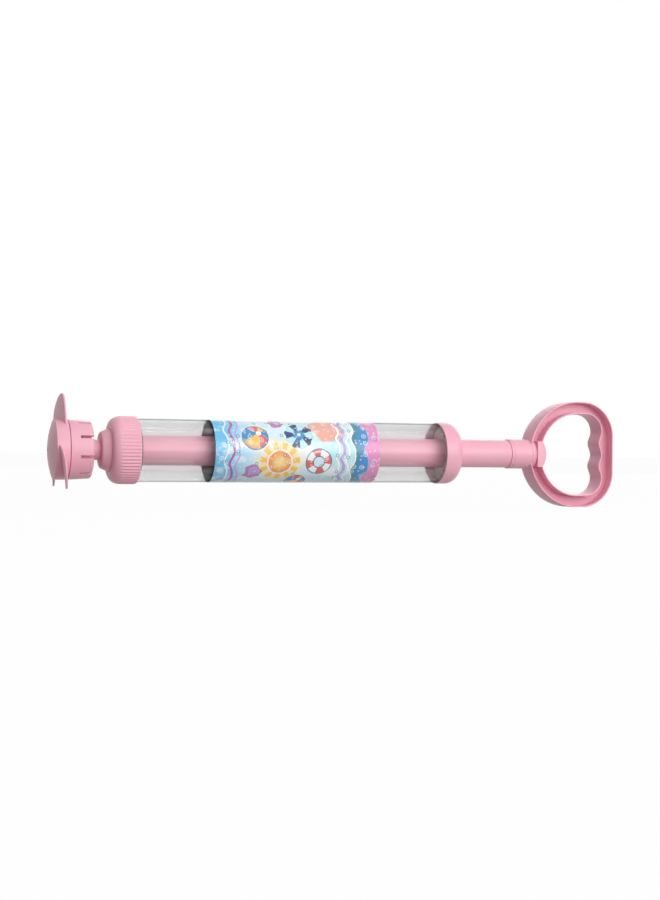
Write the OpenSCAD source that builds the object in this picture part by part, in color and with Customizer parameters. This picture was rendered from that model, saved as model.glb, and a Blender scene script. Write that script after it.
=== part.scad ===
// Hand pump water squirter: a clear barrel, a push-on fan head in front and a D-shaped pull handle.
// The barrel's axis is X. Water leaves at the origin, towards -X, and the handle is at +X. Z is up.

/* [Barrel] */
// Outer diameter of the clear tube
tube_od = 39.5; // [38:0.5:46]
// Wall of the clear tube
tube_wall = 1.2; // [0.8:0.1:1.6]
// Length of the clear tube
tube_len = 217.9; // [170:0.1:300]

/* [Printed sleeve] */
// Length of the printed film around the tube
film_len = 109.6; // [60:0.1:112]
// Thickness of the printed film
film_t = 0.15; // [0.1:0.05:0.4]
// Bare tube between the collar and the film
film_setback = 46.1; // [10:0.1:46.5]

/* [Front collar] */
// Length of the ribbed collar
collar_len = 17.1; // [16:0.1:26]
// Wall of the collar around the tube
collar_wall = 1.25; // [1.1:0.05:2]
// Length of the collar's rounded shoulder
collar_round_len = 7; // [5:0.1:7.5]
// Height of the collar's rounded shoulder
collar_round_h = 5.2; // [4:0.1:6]
// Length of the collar's rounded rear edge
collar_edge_len = 2; // [0.5:0.1:3]
// Height of the collar's rounded rear edge
collar_edge_h = 0.8; // [0.3:0.1:0.9]
// Number of grip ribs around the collar
rib_count = 60; // [36:1:64]
// Depth of the grooves between the ribs
groove_depth = 0.45; // [0.2:0.05:0.6]
// Radius of a groove
groove_r = 0.75; // [0.65:0.05:0.9]
// Smooth band between the collar's front and the grooves
groove_start = 4.6; // [4.4:0.1:8]
// Distance from the collar's front to the tube's front end
tube_depth = 8.3; // [8:0.1:9]

/* [Nozzle] */
// Outer diameter of the nozzle's spigot, which carries the fan head
spigot_d = 12.5; // [11:0.1:13]
// Bore through the spigot
spigot_bore = 6.8; // [4:0.1:7]
// Diameter of the jet hole in the spigot's tip
jet_d = 3; // [1.5:0.1:3.6]
// Thickness of the spigot's tip around the jet hole
jet_wall = 1.6; // [1:0.1:2]
// Length of the bare spigot between the fan head and the shoulder
spigot_show = 5.5; // [2:0.1:8]
// Length of the shoulder in front of the collar
shoulder_len = 5.8; // [5:0.1:8]
// Diameter of the shoulder behind its rounded edge
shoulder_d = 22; // [18:0.1:23]
// Radius of the shoulder's rounded edge
shoulder_round = 2.2; // [1:0.1:2.8]
// Outer diameter of the nozzle where it passes the collar
throat_d = 27; // [25:0.1:28]
// How far ahead of the collar's front the nozzle reaches that diameter
throat_lead = 0.4; // [0.2:0.1:1.5]
// Diameter of the bore behind the throat
throat_bore = 24; // [20:0.1:24.4]
// Thickness of the flange that the collar traps
flange_t = 2; // [1.5:0.1:2.2]
// Thickness of the sealing washer behind the flange
washer_t = 1.2; // [0.8:0.1:1.3]
// Thickness of the cord of the seal on the spigot
spigot_seal_t = 1.6; // [1.2:0.1:1.8]
// Distance from the spigot's tip to the middle of its seal
spigot_seal_place = 3; // [2.4:0.1:5]

/* [Fan seat] */
// Outer diameter of the slotted seat at its front
seat_od = 36.9; // [34:0.1:38]
// How much slimmer the seat is at its open end
seat_draft = 1.6; // [0:0.1:2.4]
// Length of the slotted seat
seat_len = 14.2; // [12:0.1:18]
// Wall of the slotted seat
seat_wall = 2; // [1.8:0.1:2.2]
// Radius of the seat's rounded rear edge
seat_round = 1.4; // [0.4:0.1:1.5]
// Outer diameter of the guard ring behind the slots
guard_od = 28; // [24:0.1:29]
// Wall of the guard ring
guard_wall = 1.2; // [1:0.1:2]
// Wall of the socket that grips the spigot
socket_wall = 1.5; // [1:0.1:2]
// How far the socket and the guard ring stay inside the seat's open end
socket_setback = 1; // [0.5:0.1:3]
// Number of slots in the seat's skirt
slot_count = 9; // [6:1:12]
// Width of a slot
slot_w = 2; // [1:0.1:3]
// Depth of a slot from the open end
slot_depth = 8.3; // [4:0.1:9]
// Angle of the first slot from the top, towards -Y
slot_phase = 24; // [0:1:40]

/* [Fan spindle] */
// Diameter of the hollow spindle that the fan turns on
spindle_d = 6; // [5:0.1:6.6]
// Bore of the hollow spindle
spindle_bore = 2.4; // [1.5:0.1:3]
// Diameter of the spindle's head
spindle_head_d = 10; // [8:0.1:11]
// Thickness of the spindle's head
spindle_head_t = 0.9; // [0.6:0.1:1.2]
// Diameter of the clip that keeps the fan on the spindle
clip_d = 10; // [8:0.1:12]
// Thickness of the clip
clip_t = 0.8; // [0.5:0.1:0.9]
// Depth of the clip's groove in the spindle
clip_groove = 0.6; // [0.3:0.1:0.8]
// Opening of the clip
clip_gap = 3.6; // [2:0.1:4.4]
// Diameter of the thrust washer behind the fan
thrust_d = 12; // [10:0.1:14]
// Thickness of the thrust washer
thrust_t = 0.6; // [0.4:0.05:0.8]

/* [Fan] */
// Outer diameter of the fan's hub
hub_od = 36.9; // [35:0.1:39]
// Length of the fan's hub
hub_len = 8; // [7.4:0.1:12]
// Wall of the fan's hub
hub_wall = 1.4; // [1:0.1:2]
// Distance from the hub's front edge to its web
web_setback = 1.3; // [1.2:0.1:2]
// Thickness of the hub's web
hub_web_t = 1.4; // [1:0.1:2]
// Diameter of the boss around the spindle
boss_d = 11; // [10:0.1:14]
// Height of the domed cover
dome_h = 3.3; // [2.8:0.1:5]
// Thickness of the domed cover
dome_t = 1.3; // [1:0.1:1.6]
// Wall of the ring that snaps the cover into the hub
snap_wall = 1.2; // [0.8:0.1:2]
// Length of that ring
snap_len = 1.1; // [0.8:0.1:1.2]
// Diameter of the outlet in the cover
outlet_d = 3.2; // [2.6:0.1:4]
// Depth of the outlet's boss
outlet_len = 2.1; // [1.8:0.1:2.2]
// Wall of the outlet's boss
outlet_wall = 1.4; // [1:0.1:2]
// Number of blades
blade_count = 3; // [2:1:4]
// Radius from the axis to a blade's tip
blade_tip = 34.1; // [30:0.1:40]
// Width of a blade
blade_w = 22.5; // [16:0.5:24]
// Thickness of a blade
blade_t = 1.2; // [0.8:0.1:1.6]
// Angle of a blade to the plane that the fan turns in, where it leaves the hub
blade_pitch = 11; // [6:0.5:11]
// The same angle at the blade's tip
blade_tip_pitch = 4; // [2:0.5:6]
// How far a blade's tip lies behind its middle line
blade_lean = 5.5; // [0:0.1:6]
// Height of the long curve along a blade's front edge
blade_sweep = 12; // [8:0.1:13]
// Angle of the first blade from the top, towards -Y
blade_phase = -3; // [-20:1:20]

/* [Rear cap] */
// Length of the rear cap
cap_len = 13.7; // [13.6:0.1:20]
// Wall of the rear cap around the tube
cap_wall = 0.6; // [0.6:0.05:1.5]
// Length of the tube that the rear cap covers
cap_grip = 6.2; // [5:0.1:6.3]
// Radius of the rear cap's rounded end
cap_round = 7.2; // [6:0.1:7.4]
// Thickness of the rear cap's end wall
cap_end_t = 1.6; // [1.2:0.1:2]
// Thickness of the rod guide's flange
guide_flange_t = 1; // [0.8:0.1:1.1]
// How far the rod guide reaches into the tube
guide_reach = 2; // [1:0.1:4]
// Wall of the rod guide's sleeve
guide_wall = 2.6; // [1.5:0.1:3]

/* [Plunger] */
// Outer diameter of the push rod
rod_d = 18.7; // [16:0.1:18.8]
// Wall of the push rod
rod_wall = 1.5; // [1:0.1:2]
// Length of the rod that shows between the rear cap and the handle
rod_show = 39.2; // [20:0.1:60]
// Length of the piston
piston_len = 8.4; // [8:0.1:8.6]
// Wall between the piston's face and its hollow back
piston_face_t = 1.8; // [1.2:0.1:2.4]
// Wall of the piston's rim around its hollow back
piston_rim_t = 1.6; // [1:0.1:2]
// Thickness of a piston ring's cord
ring_t = 1.8; // [1.6:0.1:2]
// Number of piston rings
ring_count = 2; // [1:1:2]
// Length of the piston's stem inside the rod
piston_stem_len = 15; // [10:1:30]
// Wall of the piston's stem
piston_stem_wall = 2; // [1.4:0.1:3]
// Thickness of the soft bumper behind the piston
bumper_t = 1.4; // [1:0.1:1.5]
// Outer diameter of the soft bumper
bumper_d = 32; // [26:0.5:33]
// Length of the plug in the rod's rear end
plug_len = 15; // [12:1:30]

/* [Handle] */
// Outer diameter of the handle's stem
stem_d = 20; // [19.9:0.1:24]
// Length of the stem in front of the hoop
stem_len = 14.6; // [8:0.1:30]
// How far the stem runs on across the hoop's band
stem_lap = 4; // [3:0.1:5]
// Depth of the rod's socket in the stem
socket_depth = 12; // [8:0.1:13]
// Radius of the hoop's round side
hoop_r = 36.5; // [35:0.5:42]
// Distance from the centre of the hoop's round side to its flat grip side
grip_reach = 28.4; // [27.5:0.1:32]
// Radius of the hoop's two rear corners
corner_r = 24; // [18:0.5:26]
// Width of the hoop's band
band_w = 8.5; // [7.5:0.1:10]
// Width of the grip in the hollow of a finger wave
grip_w = 9; // [8:0.1:11]
// Radius of the opening's two rear corners
opening_corner_r = 12; // [10:0.5:14]
// Depth of the hoop along Y
hoop_depth = 15.5; // [14:0.5:18]
// Wall of the hoop's rims
rim_t = 1.2; // [1:0.1:2]
// Thickness of the web between the rims
web_t = 1.6; // [1.2:0.1:2.4]
// Spacing of the finger waves
wave_pitch = 15.8; // [14:0.1:16]
// Height of the finger waves
wave_h = 2.1; // [0.5:0.1:3]
// Gap in the channel between the stem's end and the screw block
block_gap = 1.7; // [1:0.1:2.4]
// Height of the screw block along Z
block_h = 17.8; // [16:0.1:20]
// How far the screw block bulges into the opening
block_bulge = 4; // [3.4:0.1:6]
// Radius of the screw block's bulging side
block_r = 14.7; // [12:0.1:20]
// Diameter of the core between the stem and the screw block
core_d = 10; // [9.6:0.1:14]

/* [Handle screw] */
// Thread diameter of the handle screw
screw_d = 3.5; // [3:0.1:4]
// Length of the handle screw's shank
screw_len = 22; // [18:0.5:25]
// Diameter of the screw's head
screw_head_d = 7.2; // [6:0.1:7.6]
// Height of the screw's head
screw_head_t = 2; // [1.6:0.1:2.2]
// Width of the cross recess
recess_w = 1; // [0.8:0.1:1.4]
// Span of the cross recess
recess_span = 4; // [3:0.1:5]
// Depth of the cross recess
recess_depth = 1.2; // [0.8:0.1:1.4]
// Diameter of the plug over the screw
cover_d = 8.4; // [8:0.1:9.5]
// Thickness of the plug over the screw
cover_t = 1.4; // [1:0.1:1.8]

/* [Fits] */
// Gap in glued and pressed joints
fit_gap = 0.05; // [0.02:0.01:0.08]
// Radial gap where one piece slides or spins on another
run_gap = 0.08; // [0.05:0.01:0.1]
// Free gap between pieces that move past each other
free_gap = 0.3; // [0.2:0.05:0.4]

/* [Hidden] */
$fn = 96;

pink = [0.95, 0.62, 0.71];
deep_pink = [0.86, 0.48, 0.58];
clear = [0.86, 0.90, 0.92, 0.35];
film_blue = [0.42, 0.76, 0.92];
rubber = [0.20, 0.20, 0.22];
steel = [0.72, 0.73, 0.75];
white = [0.93, 0.93, 0.91];

// Radii
tube_r = tube_od / 2;
bore_r = tube_r - tube_wall;
collar_bore_r = tube_r + run_gap;
collar_r = collar_bore_r + collar_wall;
flange_r = collar_bore_r - free_gap;
throat_r = throat_d / 2;
spigot_r = spigot_d / 2;
socket_r = spigot_r + run_gap;
seat_r = seat_od / 2;
guard_r = guard_od / 2;
spindle_r = spindle_d / 2;
hub_r = hub_od / 2;
cap_r = tube_r + fit_gap + cap_wall;
cap_arc_r = cap_r - cap_round;
rod_r = rod_d / 2;
rod_bore_r = rod_r - rod_wall;
rod_fill_r = rod_bore_r - fit_gap;
piston_r = bore_r - free_gap;
stem_r = stem_d / 2;

// Places along X, from the outlet to the handle
x_hub_front = dome_h;
x_hub_back = x_hub_front + hub_len;
x_web = x_hub_front + web_setback;
x_seat_front = x_hub_back + free_gap;
x_seat_back = x_seat_front + seat_len;
x_seat_inside = x_seat_front + seat_wall;
x_thrust = x_seat_front - fit_gap - thrust_t;
x_clip = x_web - fit_gap - clip_t;
x_spindle_front = outlet_len + free_gap;
x_jet = x_seat_inside + spindle_head_t + free_gap;
x_shoulder = x_seat_back + spigot_show;
x_collar_front = x_shoulder + shoulder_len;
x_collar_back = x_collar_front + collar_len;
x_tube_front = x_collar_front + tube_depth;
x_tube_back = x_tube_front + tube_len;
x_washer = x_tube_front - washer_t;
x_flange = x_washer - flange_t;
x_collar_ledge = x_flange - fit_gap;
x_film = x_collar_back + film_setback;
x_cap_front = x_tube_back - cap_grip;
x_cap_back = x_cap_front + cap_len;
x_cap_arc = x_cap_back - cap_round;
x_guide_flange = x_tube_back + guide_flange_t;
x_guide_back = x_cap_back - cap_end_t - 2 * free_gap;
x_piston = x_tube_front + free_gap;
x_piston_back = x_piston + piston_len;
x_bumper = x_piston_back + fit_gap;
x_stem_front = x_cap_back + rod_show;
x_rod_back = x_stem_front + socket_depth;
x_hoop_front = x_stem_front + stem_len;
x_hoop_centre = x_hoop_front + hoop_r;
x_stem_back = x_hoop_front + stem_lap;
x_block_front = x_stem_back + block_gap;
x_block_tip = x_hoop_front + band_w + block_bulge;
x_cover = x_block_tip - fit_gap - cover_t;
x_screw_seat = x_cover - fit_gap - screw_head_t;

// The domed cover is a cap of this sphere
dome_r = (hub_r * hub_r + dome_h * dome_h) / (2 * dome_h);

// Rings sit side by side in the piston's rim
ring_step = piston_len / (ring_count + 1);
ring_centre_r = bore_r - run_gap - ring_t / 2;

// The opening in the hoop, measured from the centre of its round side
opening_r = hoop_r - band_w;
opening_reach = grip_reach - grip_w;
wave_steps = 48;

// Cutting tools reach this far past the faces that they cut
past = 1;

// Puts a shape that was made about Z onto the X axis
module on_x() {
    rotate([0, 90, 0]) children();
}

// Solid of revolution about X from an outline in (radius, place along X)
module turned() {
    on_x() rotate_extrude() children();
}

// Ring about X with square edges
module ring(x0, x1, r_in, r_out) {
    turned() ring_outline(x0, x1, r_in, r_out);
}

module ring_outline(x0, x1, r_in, r_out) {
    translate([r_in, x0]) square([r_out - r_in, x1 - x0]);
}

// Points of a rounded corner of a turned outline, from one angle to another in a few steps
function corner(centre, height, length, from, to, steps) = [
    for (i = [0:steps]) let (a = from + (to - from) * i / steps)
        [centre[0] + height * cos(a), centre[1] + length * sin(a)]
];

// Round bar along X
module bar(x0, x1, r) {
    translate([x0, 0, 0]) on_x() cylinder(h = x1 - x0, r = r);
}

// Round cord bent into a ring about X
module cord_ring(x, r_centre, r_cord) {
    turned() translate([r_centre, x]) circle(r = r_cord, $fn = 48);
}

// Turns a shape that points up, about X, by an angle from the top towards -Y
module around_x(angle) {
    rotate([angle, 0, 0]) children();
}

module barrel_tube() {
    color(clear) ring(x_tube_front, x_tube_back, bore_r, tube_r);
}

module printed_sleeve() {
    film_in = tube_r + fit_gap;
    color(film_blue) ring(x_film, x_film + film_len, film_in, film_in + film_t);
}

// Outline of the collar's outer face, with its round shoulder and rear edge
module collar_outline() {
    shoulder_centre = [collar_r - collar_round_h, x_collar_front + collar_round_len];
    edge_centre = [collar_r - collar_edge_h, x_collar_back - collar_edge_len];
    polygon(concat(
        [[0, x_collar_front]],
        corner(shoulder_centre, collar_round_h, collar_round_len, -90, 0, 9),
        corner(edge_centre, collar_edge_h, collar_edge_len, 0, 90, 4),
        [[0, x_collar_back]]
    ));
}

module front_collar() {
    groove_centre = collar_r - groove_depth + groove_r;
    color(pink) difference() {
        turned() difference() {
            collar_outline();
            ring_outline(x_collar_front - past, x_collar_back + past, 0, throat_r + run_gap);
            ring_outline(x_collar_ledge, x_collar_back + past, 0, collar_bore_r);
        }
        for (i = [0:rib_count - 1]) {
            around_x(i * 360 / rib_count) translate([0, 0, groove_centre])
                bar(x_collar_front + groove_start, x_collar_back + past, groove_r, $fn = 24);
        }
    }
}

// Outline of the nozzle's outer face, from the spigot's tip to the flange
module nozzle_outline() {
    shoulder_r = shoulder_d / 2;
    round_r = shoulder_r - shoulder_round;
    x_round = x_shoulder + shoulder_round;
    ring_outline(x_jet, x_round, 0, spigot_r);
    ring_outline(x_shoulder, x_round, 0, round_r);
    translate([round_r, x_round]) intersection() {
        circle(r = shoulder_round);
        translate([-shoulder_round, -shoulder_round]) square([2 * shoulder_round, shoulder_round]);
    }
    polygon([
        [0, x_round],
        [shoulder_r, x_round],
        [throat_r, x_collar_front - throat_lead],
        [throat_r, x_flange],
        [0, x_flange]
    ]);
    ring_outline(x_flange, x_washer, 0, flange_r);
}

module nozzle() {
    groove_in = spigot_r + fit_gap - spigot_seal_t;
    x_groove = x_jet + spigot_seal_place - spigot_seal_t / 2 - fit_gap;
    bore = spigot_bore / 2;
    x_funnel = x_shoulder + shoulder_round;
    color(pink) turned() difference() {
        nozzle_outline();
        ring_outline(x_jet - past, x_jet + jet_wall + past, 0, jet_d / 2);
        ring_outline(x_jet + jet_wall, x_funnel, 0, bore);
        polygon([
            [0, x_funnel],
            [bore, x_funnel],
            [throat_bore / 2, x_flange],
            [throat_bore / 2, x_washer + past],
            [0, x_washer + past]
        ]);
        translate([0, x_groove]) ring_outline(0, spigot_seal_t + 2 * fit_gap, groove_in, spigot_r + past);
    }
}

module nozzle_washer() {
    color(rubber) ring(x_washer, x_tube_front, throat_bore / 2, flange_r);
}

module spigot_seal() {
    cord_r = spigot_seal_t / 2;
    color(rubber) cord_ring(x_jet + spigot_seal_place, spigot_r + fit_gap - cord_r, cord_r);
}

// Outline of the rear cap's outer face
module cap_outline() {
    ring_outline(x_cap_front, x_cap_arc, 0, cap_r);
    ring_outline(x_cap_arc, x_cap_back, 0, cap_arc_r);
    intersection() {
        translate([cap_arc_r, x_cap_arc]) circle(r = cap_round);
        ring_outline(x_cap_front, x_cap_back, 0, cap_r);
    }
}

module rear_cap() {
    hollow_round = cap_round - cap_end_t;
    color(pink) turned() difference() {
        cap_outline();
        ring_outline(x_cap_front - past, x_guide_flange, 0, tube_r + fit_gap);
        ring_outline(x_cap_arc, x_cap_back - cap_end_t, 0, cap_arc_r);
        translate([cap_arc_r, x_cap_arc]) circle(r = hollow_round);
        ring_outline(x_cap_front, x_cap_back + past, 0, rod_r + free_gap);
    }
}

module rod_guide() {
    bore = rod_r + run_gap;
    color(white) turned() {
        ring_outline(x_tube_back, x_guide_flange, bore, tube_r - fit_gap);
        ring_outline(x_tube_back - guide_reach, x_guide_back, bore, bore + guide_wall);
    }
}

// Outline of the seat: end wall, drafted skirt with a round rear edge, guard ring and socket
module seat_outline() {
    seat_back_r = seat_r - seat_draft / 2;
    x_inner_back = x_seat_back - socket_setback;
    edge = [seat_back_r - seat_round, x_seat_back - seat_round];
    difference() {
        polygon([
            [spindle_r, x_seat_front],
            [seat_r, x_seat_front],
            [seat_back_r, x_seat_back],
            [seat_back_r - seat_wall, x_seat_back],
            [seat_r - seat_wall, x_seat_inside],
            [spindle_r, x_seat_inside]
        ]);
        difference() {
            translate(edge) square(seat_round + past);
            translate(edge) circle(r = seat_round, $fn = 48);
        }
    }
    ring_outline(x_seat_inside, x_inner_back, guard_r - guard_wall, guard_r);
    ring_outline(x_seat_inside, x_inner_back, socket_r, socket_r + socket_wall);
}

module fan_seat() {
    slot_floor = (guard_r + seat_r - seat_draft / 2 - seat_wall) / 2;
    color(pink) difference() {
        turned() seat_outline();
        bar(x_seat_front - past, x_seat_inside + past, spindle_r + fit_gap);
        for (i = [0:slot_count - 1]) {
            around_x(slot_phase + i * 360 / slot_count)
                translate([x_seat_back - slot_depth, -slot_w / 2, slot_floor])
                    cube([slot_depth + past, slot_w, seat_r]);
        }
    }
}

module fan_spindle() {
    groove_r0 = spindle_r - clip_groove;
    x_head_back = x_seat_inside + spindle_head_t;
    color(steel) turned() difference() {
        union() {
            ring_outline(x_spindle_front, x_seat_inside, spindle_bore / 2, spindle_r);
            ring_outline(x_seat_inside, x_head_back, spindle_bore / 2, spindle_head_d / 2);
        }
        ring_outline(x_clip - fit_gap, x_web - fit_gap, groove_r0, spindle_r + past);
    }
}

module thrust_washer() {
    color(white) ring(x_thrust, x_thrust + thrust_t, spindle_r + run_gap, thrust_d / 2);
}

module spindle_clip() {
    color(steel) difference() {
        ring(x_clip, x_clip + clip_t - fit_gap, spindle_r - clip_groove + fit_gap, clip_d / 2);
        translate([x_clip - past, -clip_gap / 2, 0]) cube([clip_t + 2 * past, clip_gap, clip_d]);
    }
}

// One blade's outline, with its width along the first axis and the radius along the second
module blade_outline() {
    half_w = blade_w / 2;
    front_w = half_w + blade_lean;
    rear_w = half_w - blade_lean;
    front_centre = [blade_lean, blade_tip - blade_sweep];
    rear_centre = [blade_lean, blade_tip - rear_w];
    polygon(concat(
        [[half_w, 0], [-half_w, 0]],
        corner(front_centre, front_w, blade_sweep, 180, 90, 18),
        corner(rear_centre, rear_w, rear_w, 90, 0, 9)
    ));
}

// A bar that points up and turns from the pitch at the hub to the pitch at the tip
module blade_bar() {
    per_mm = (blade_pitch - blade_tip_pitch) / (blade_tip - hub_r);
    base_pitch = blade_pitch + per_mm * hub_r;
    bar_h = blade_tip + past;
    rotate([0, 0, base_pitch - 90])
        linear_extrude(bar_h, twist = per_mm * bar_h, slices = 16, $fn = 12)
            square([blade_w + 2, blade_t], center = true);
}

module blade() {
    x_blade = (x_hub_front + x_hub_back) / 2;
    translate([x_blade, 0, 0]) intersection() {
        blade_bar();
        rotate([0, 0, -90]) rotate([90, 0, 0]) linear_extrude(hub_len, center = true) blade_outline();
    }
}

module rotor() {
    hub_in = hub_r - hub_wall;
    color(pink) {
        difference() {
            for (i = [0:blade_count - 1]) {
                around_x(blade_phase + i * 360 / blade_count) blade();
            }
            bar(x_hub_front - hub_r, x_hub_back + hub_r, hub_r - hub_wall / 2);
        }
        turned() {
            ring_outline(x_hub_front, x_hub_back, hub_in, hub_r);
            ring_outline(x_web, x_web + hub_web_t, spindle_r + run_gap, hub_in);
            ring_outline(x_web, x_thrust - fit_gap, spindle_r + run_gap, boss_d / 2);
        }
    }
}

module rotor_cover() {
    snap_r = hub_r - hub_wall - fit_gap;
    color(pink) turned() difference() {
        union() {
            intersection() {
                translate([0, dome_r]) circle(r = dome_r, $fn = 360);
                ring_outline(0, x_hub_front, 0, hub_r);
            }
            ring_outline(x_hub_front, x_hub_front + snap_len, snap_r - snap_wall, snap_r);
        }
        difference() {
            translate([0, dome_r]) circle(r = dome_r - dome_t, $fn = 360);
            ring_outline(x_hub_front - dome_h, outlet_len, 0, outlet_d / 2 + outlet_wall);
            ring_outline(x_hub_front, x_hub_front + snap_len, snap_r - snap_wall, snap_r);
        }
        ring_outline(-past, outlet_len + past, 0, outlet_d / 2);
    }
}

module piston_rings() {
    color(rubber) for (i = [1:ring_count]) {
        cord_ring(x_piston + i * ring_step, ring_centre_r, ring_t / 2);
    }
}

module push_rod() {
    color(pink) ring(x_piston_back, x_rod_back, rod_bore_r, rod_r);
}

module piston() {
    groove_in = ring_centre_r - ring_t / 2 - fit_gap;
    groove_w = ring_t + 2 * fit_gap;
    rim_in = groove_in - piston_rim_t;
    x_hollow = x_piston + piston_face_t;
    x_stem_end = x_piston_back + piston_stem_len;
    color(deep_pink) turned() difference() {
        union() {
            ring_outline(x_piston, x_piston_back, 0, piston_r);
            ring_outline(x_piston_back, x_stem_end, 0, rod_fill_r);
        }
        for (i = [1:ring_count]) {
            translate([0, x_piston + i * ring_step - groove_w / 2])
                ring_outline(0, groove_w, groove_in, piston_r + past);
        }
        ring_outline(x_hollow, x_piston_back + past, rod_r + fit_gap, rim_in);
        ring_outline(x_hollow, x_stem_end + past, 0, rod_fill_r - piston_stem_wall);
    }
}

module bumper_ring() {
    color(rubber) ring(x_bumper, x_bumper + bumper_t, rod_r + fit_gap, bumper_d / 2);
}

module rod_end_plug() {
    color(deep_pink) ring(x_rod_back - plug_len, x_rod_back, screw_d / 2 + fit_gap, rod_fill_r);
}

// Outer outline of the hoop, drawn inwards by an inset
module hoop_outline(inset) {
    corner_x = grip_reach - corner_r;
    corner_z = hoop_r - corner_r;
    intersection() {
        circle(r = hoop_r - inset);
        translate([-hoop_r, -hoop_r]) square([hoop_r, 2 * hoop_r]);
    }
    translate([0, inset - hoop_r]) square([corner_x, 2 * (hoop_r - inset)]);
    translate([0, -corner_z]) square([grip_reach - inset, 2 * corner_z]);
    for (side = [-1, 1]) {
        translate([corner_x, side * corner_z]) circle(r = corner_r - inset);
    }
}

// Outline of the opening in the hoop, drawn outwards by an outset, with its finger waves
module opening_outline(outset) {
    corner_x = opening_reach - opening_corner_r;
    corner_z = opening_r - opening_corner_r;
    wave = [for (i = [-wave_steps:wave_steps])
        let (turn = 360 * i / wave_steps)
        [opening_reach + outset - wave_h * (1 - cos(turn)) / 2, wave_pitch * i / wave_steps]];
    intersection() {
        circle(r = opening_r + outset);
        translate([-hoop_r, -hoop_r]) square([hoop_r, 2 * hoop_r]);
    }
    translate([0, -opening_r - outset]) square([corner_x, 2 * (opening_r + outset)]);
    polygon(concat([[0, -wave_pitch]], wave, [[0, wave_pitch]]));
    for (side = [-1, 1]) {
        translate([corner_x, side * corner_z]) circle(r = opening_corner_r + outset);
    }
}

// Stands an outline of the hoop up in the XZ plane, with a thickness along Y
module hoop_plate(thickness) {
    translate([x_hoop_centre, 0, 0]) rotate([90, 0, 0]) linear_extrude(thickness, center = true) children();
}

module hoop() {
    hoop_plate(hoop_depth) difference() {
        hoop_outline(0);
        hoop_outline(rim_t);
    }
    hoop_plate(hoop_depth) difference() {
        opening_outline(rim_t);
        opening_outline(0);
    }
    hoop_plate(web_t) difference() {
        hoop_outline(rim_t / 2);
        opening_outline(rim_t / 2);
    }
}

// Stem, core and the screw block, whose faces are flush with the hoop's rims
module stem_and_block() {
    bar(x_stem_front, x_stem_back, stem_r);
    bar(x_stem_back - past, x_block_front + past, core_d / 2);
    rotate([90, 0, 0]) linear_extrude(hoop_depth, center = true) intersection() {
        translate([x_block_front, -block_h / 2]) square([x_block_tip - x_block_front, block_h]);
        translate([x_block_tip - block_r, 0]) circle(r = block_r);
    }
}

module handle() {
    color(pink) difference() {
        union() {
            hoop();
            stem_and_block();
        }
        bar(x_stem_front - past, x_rod_back, rod_r + fit_gap);
        bar(x_rod_back - past, x_block_tip, screw_d / 2 + fit_gap);
        bar(x_screw_seat, x_block_tip + past, cover_d / 2 + fit_gap);
    }
}

module handle_screw() {
    color(steel) difference() {
        union() {
            bar(x_screw_seat - screw_len, x_screw_seat, screw_d / 2);
            bar(x_screw_seat, x_screw_seat + screw_head_t, screw_head_d / 2);
        }
        for (turn = [0, 90]) {
            around_x(turn)
                translate([x_screw_seat + screw_head_t - recess_depth, -recess_w / 2, -recess_span / 2])
                    cube([recess_depth + past, recess_w, recess_span]);
        }
    }
}

module screw_plug() {
    color(pink) bar(x_cover, x_cover + cover_t, cover_d / 2);
}

barrel_tube();
printed_sleeve();
front_collar();
nozzle();
nozzle_washer();
spigot_seal();
rear_cap();
rod_guide();
fan_seat();
fan_spindle();
thrust_washer();
spindle_clip();
rotor();
rotor_cover();
piston_rings();
push_rod();
piston();
bumper_ring();
rod_end_plug();
handle();
handle_screw();
screw_plug();
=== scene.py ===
"""Dresses a hand pump water squirter: clear barrel, printed film, fan head, collar and plunger.

Lengths in this script are in millimetres until a mesh is made, and every mesh is in metres.
The barrel's axis is X, the outlet is at the origin and the handle is at +X. Z is up.
"""

import logging
import math
from dataclasses import dataclass, field
from enum import Enum
from typing import Callable, Sequence

import bpy
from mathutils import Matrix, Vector


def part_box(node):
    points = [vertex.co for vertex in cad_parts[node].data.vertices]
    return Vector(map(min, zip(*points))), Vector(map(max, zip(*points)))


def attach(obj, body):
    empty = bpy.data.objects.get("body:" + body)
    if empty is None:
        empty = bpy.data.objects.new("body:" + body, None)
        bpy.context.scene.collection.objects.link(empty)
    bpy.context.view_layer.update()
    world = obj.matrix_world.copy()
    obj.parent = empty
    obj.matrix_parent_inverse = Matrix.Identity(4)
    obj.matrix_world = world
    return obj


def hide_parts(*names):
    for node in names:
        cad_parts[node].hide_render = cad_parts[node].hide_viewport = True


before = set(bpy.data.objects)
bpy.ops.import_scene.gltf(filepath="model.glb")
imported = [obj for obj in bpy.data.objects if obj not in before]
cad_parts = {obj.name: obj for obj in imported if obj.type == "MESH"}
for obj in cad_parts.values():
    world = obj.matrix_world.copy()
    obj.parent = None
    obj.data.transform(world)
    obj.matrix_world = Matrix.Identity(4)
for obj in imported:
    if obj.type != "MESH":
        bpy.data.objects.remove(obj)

logging.basicConfig(level=logging.INFO, format="%(name)s: %(message)s")
log = logging.getLogger("squirter")

MM = 0.001
TURN = 2 * math.pi
SMOOTH_ANGLE = 38
PLASTIC_IOR = 1.49
WHITE = (1.0, 1.0, 1.0)
# Half the width of the print's soft edges, in millimetres
PRINT_EDGE = 0.12

Corner = tuple[float, ...]
Outline = list[tuple[float, float]]
Triple = tuple[float, float, float]
Colour = Triple
Piece = bpy.types.Object
Material = bpy.types.Material
Node = bpy.types.Node
Socket = bpy.types.NodeSocket


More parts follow.
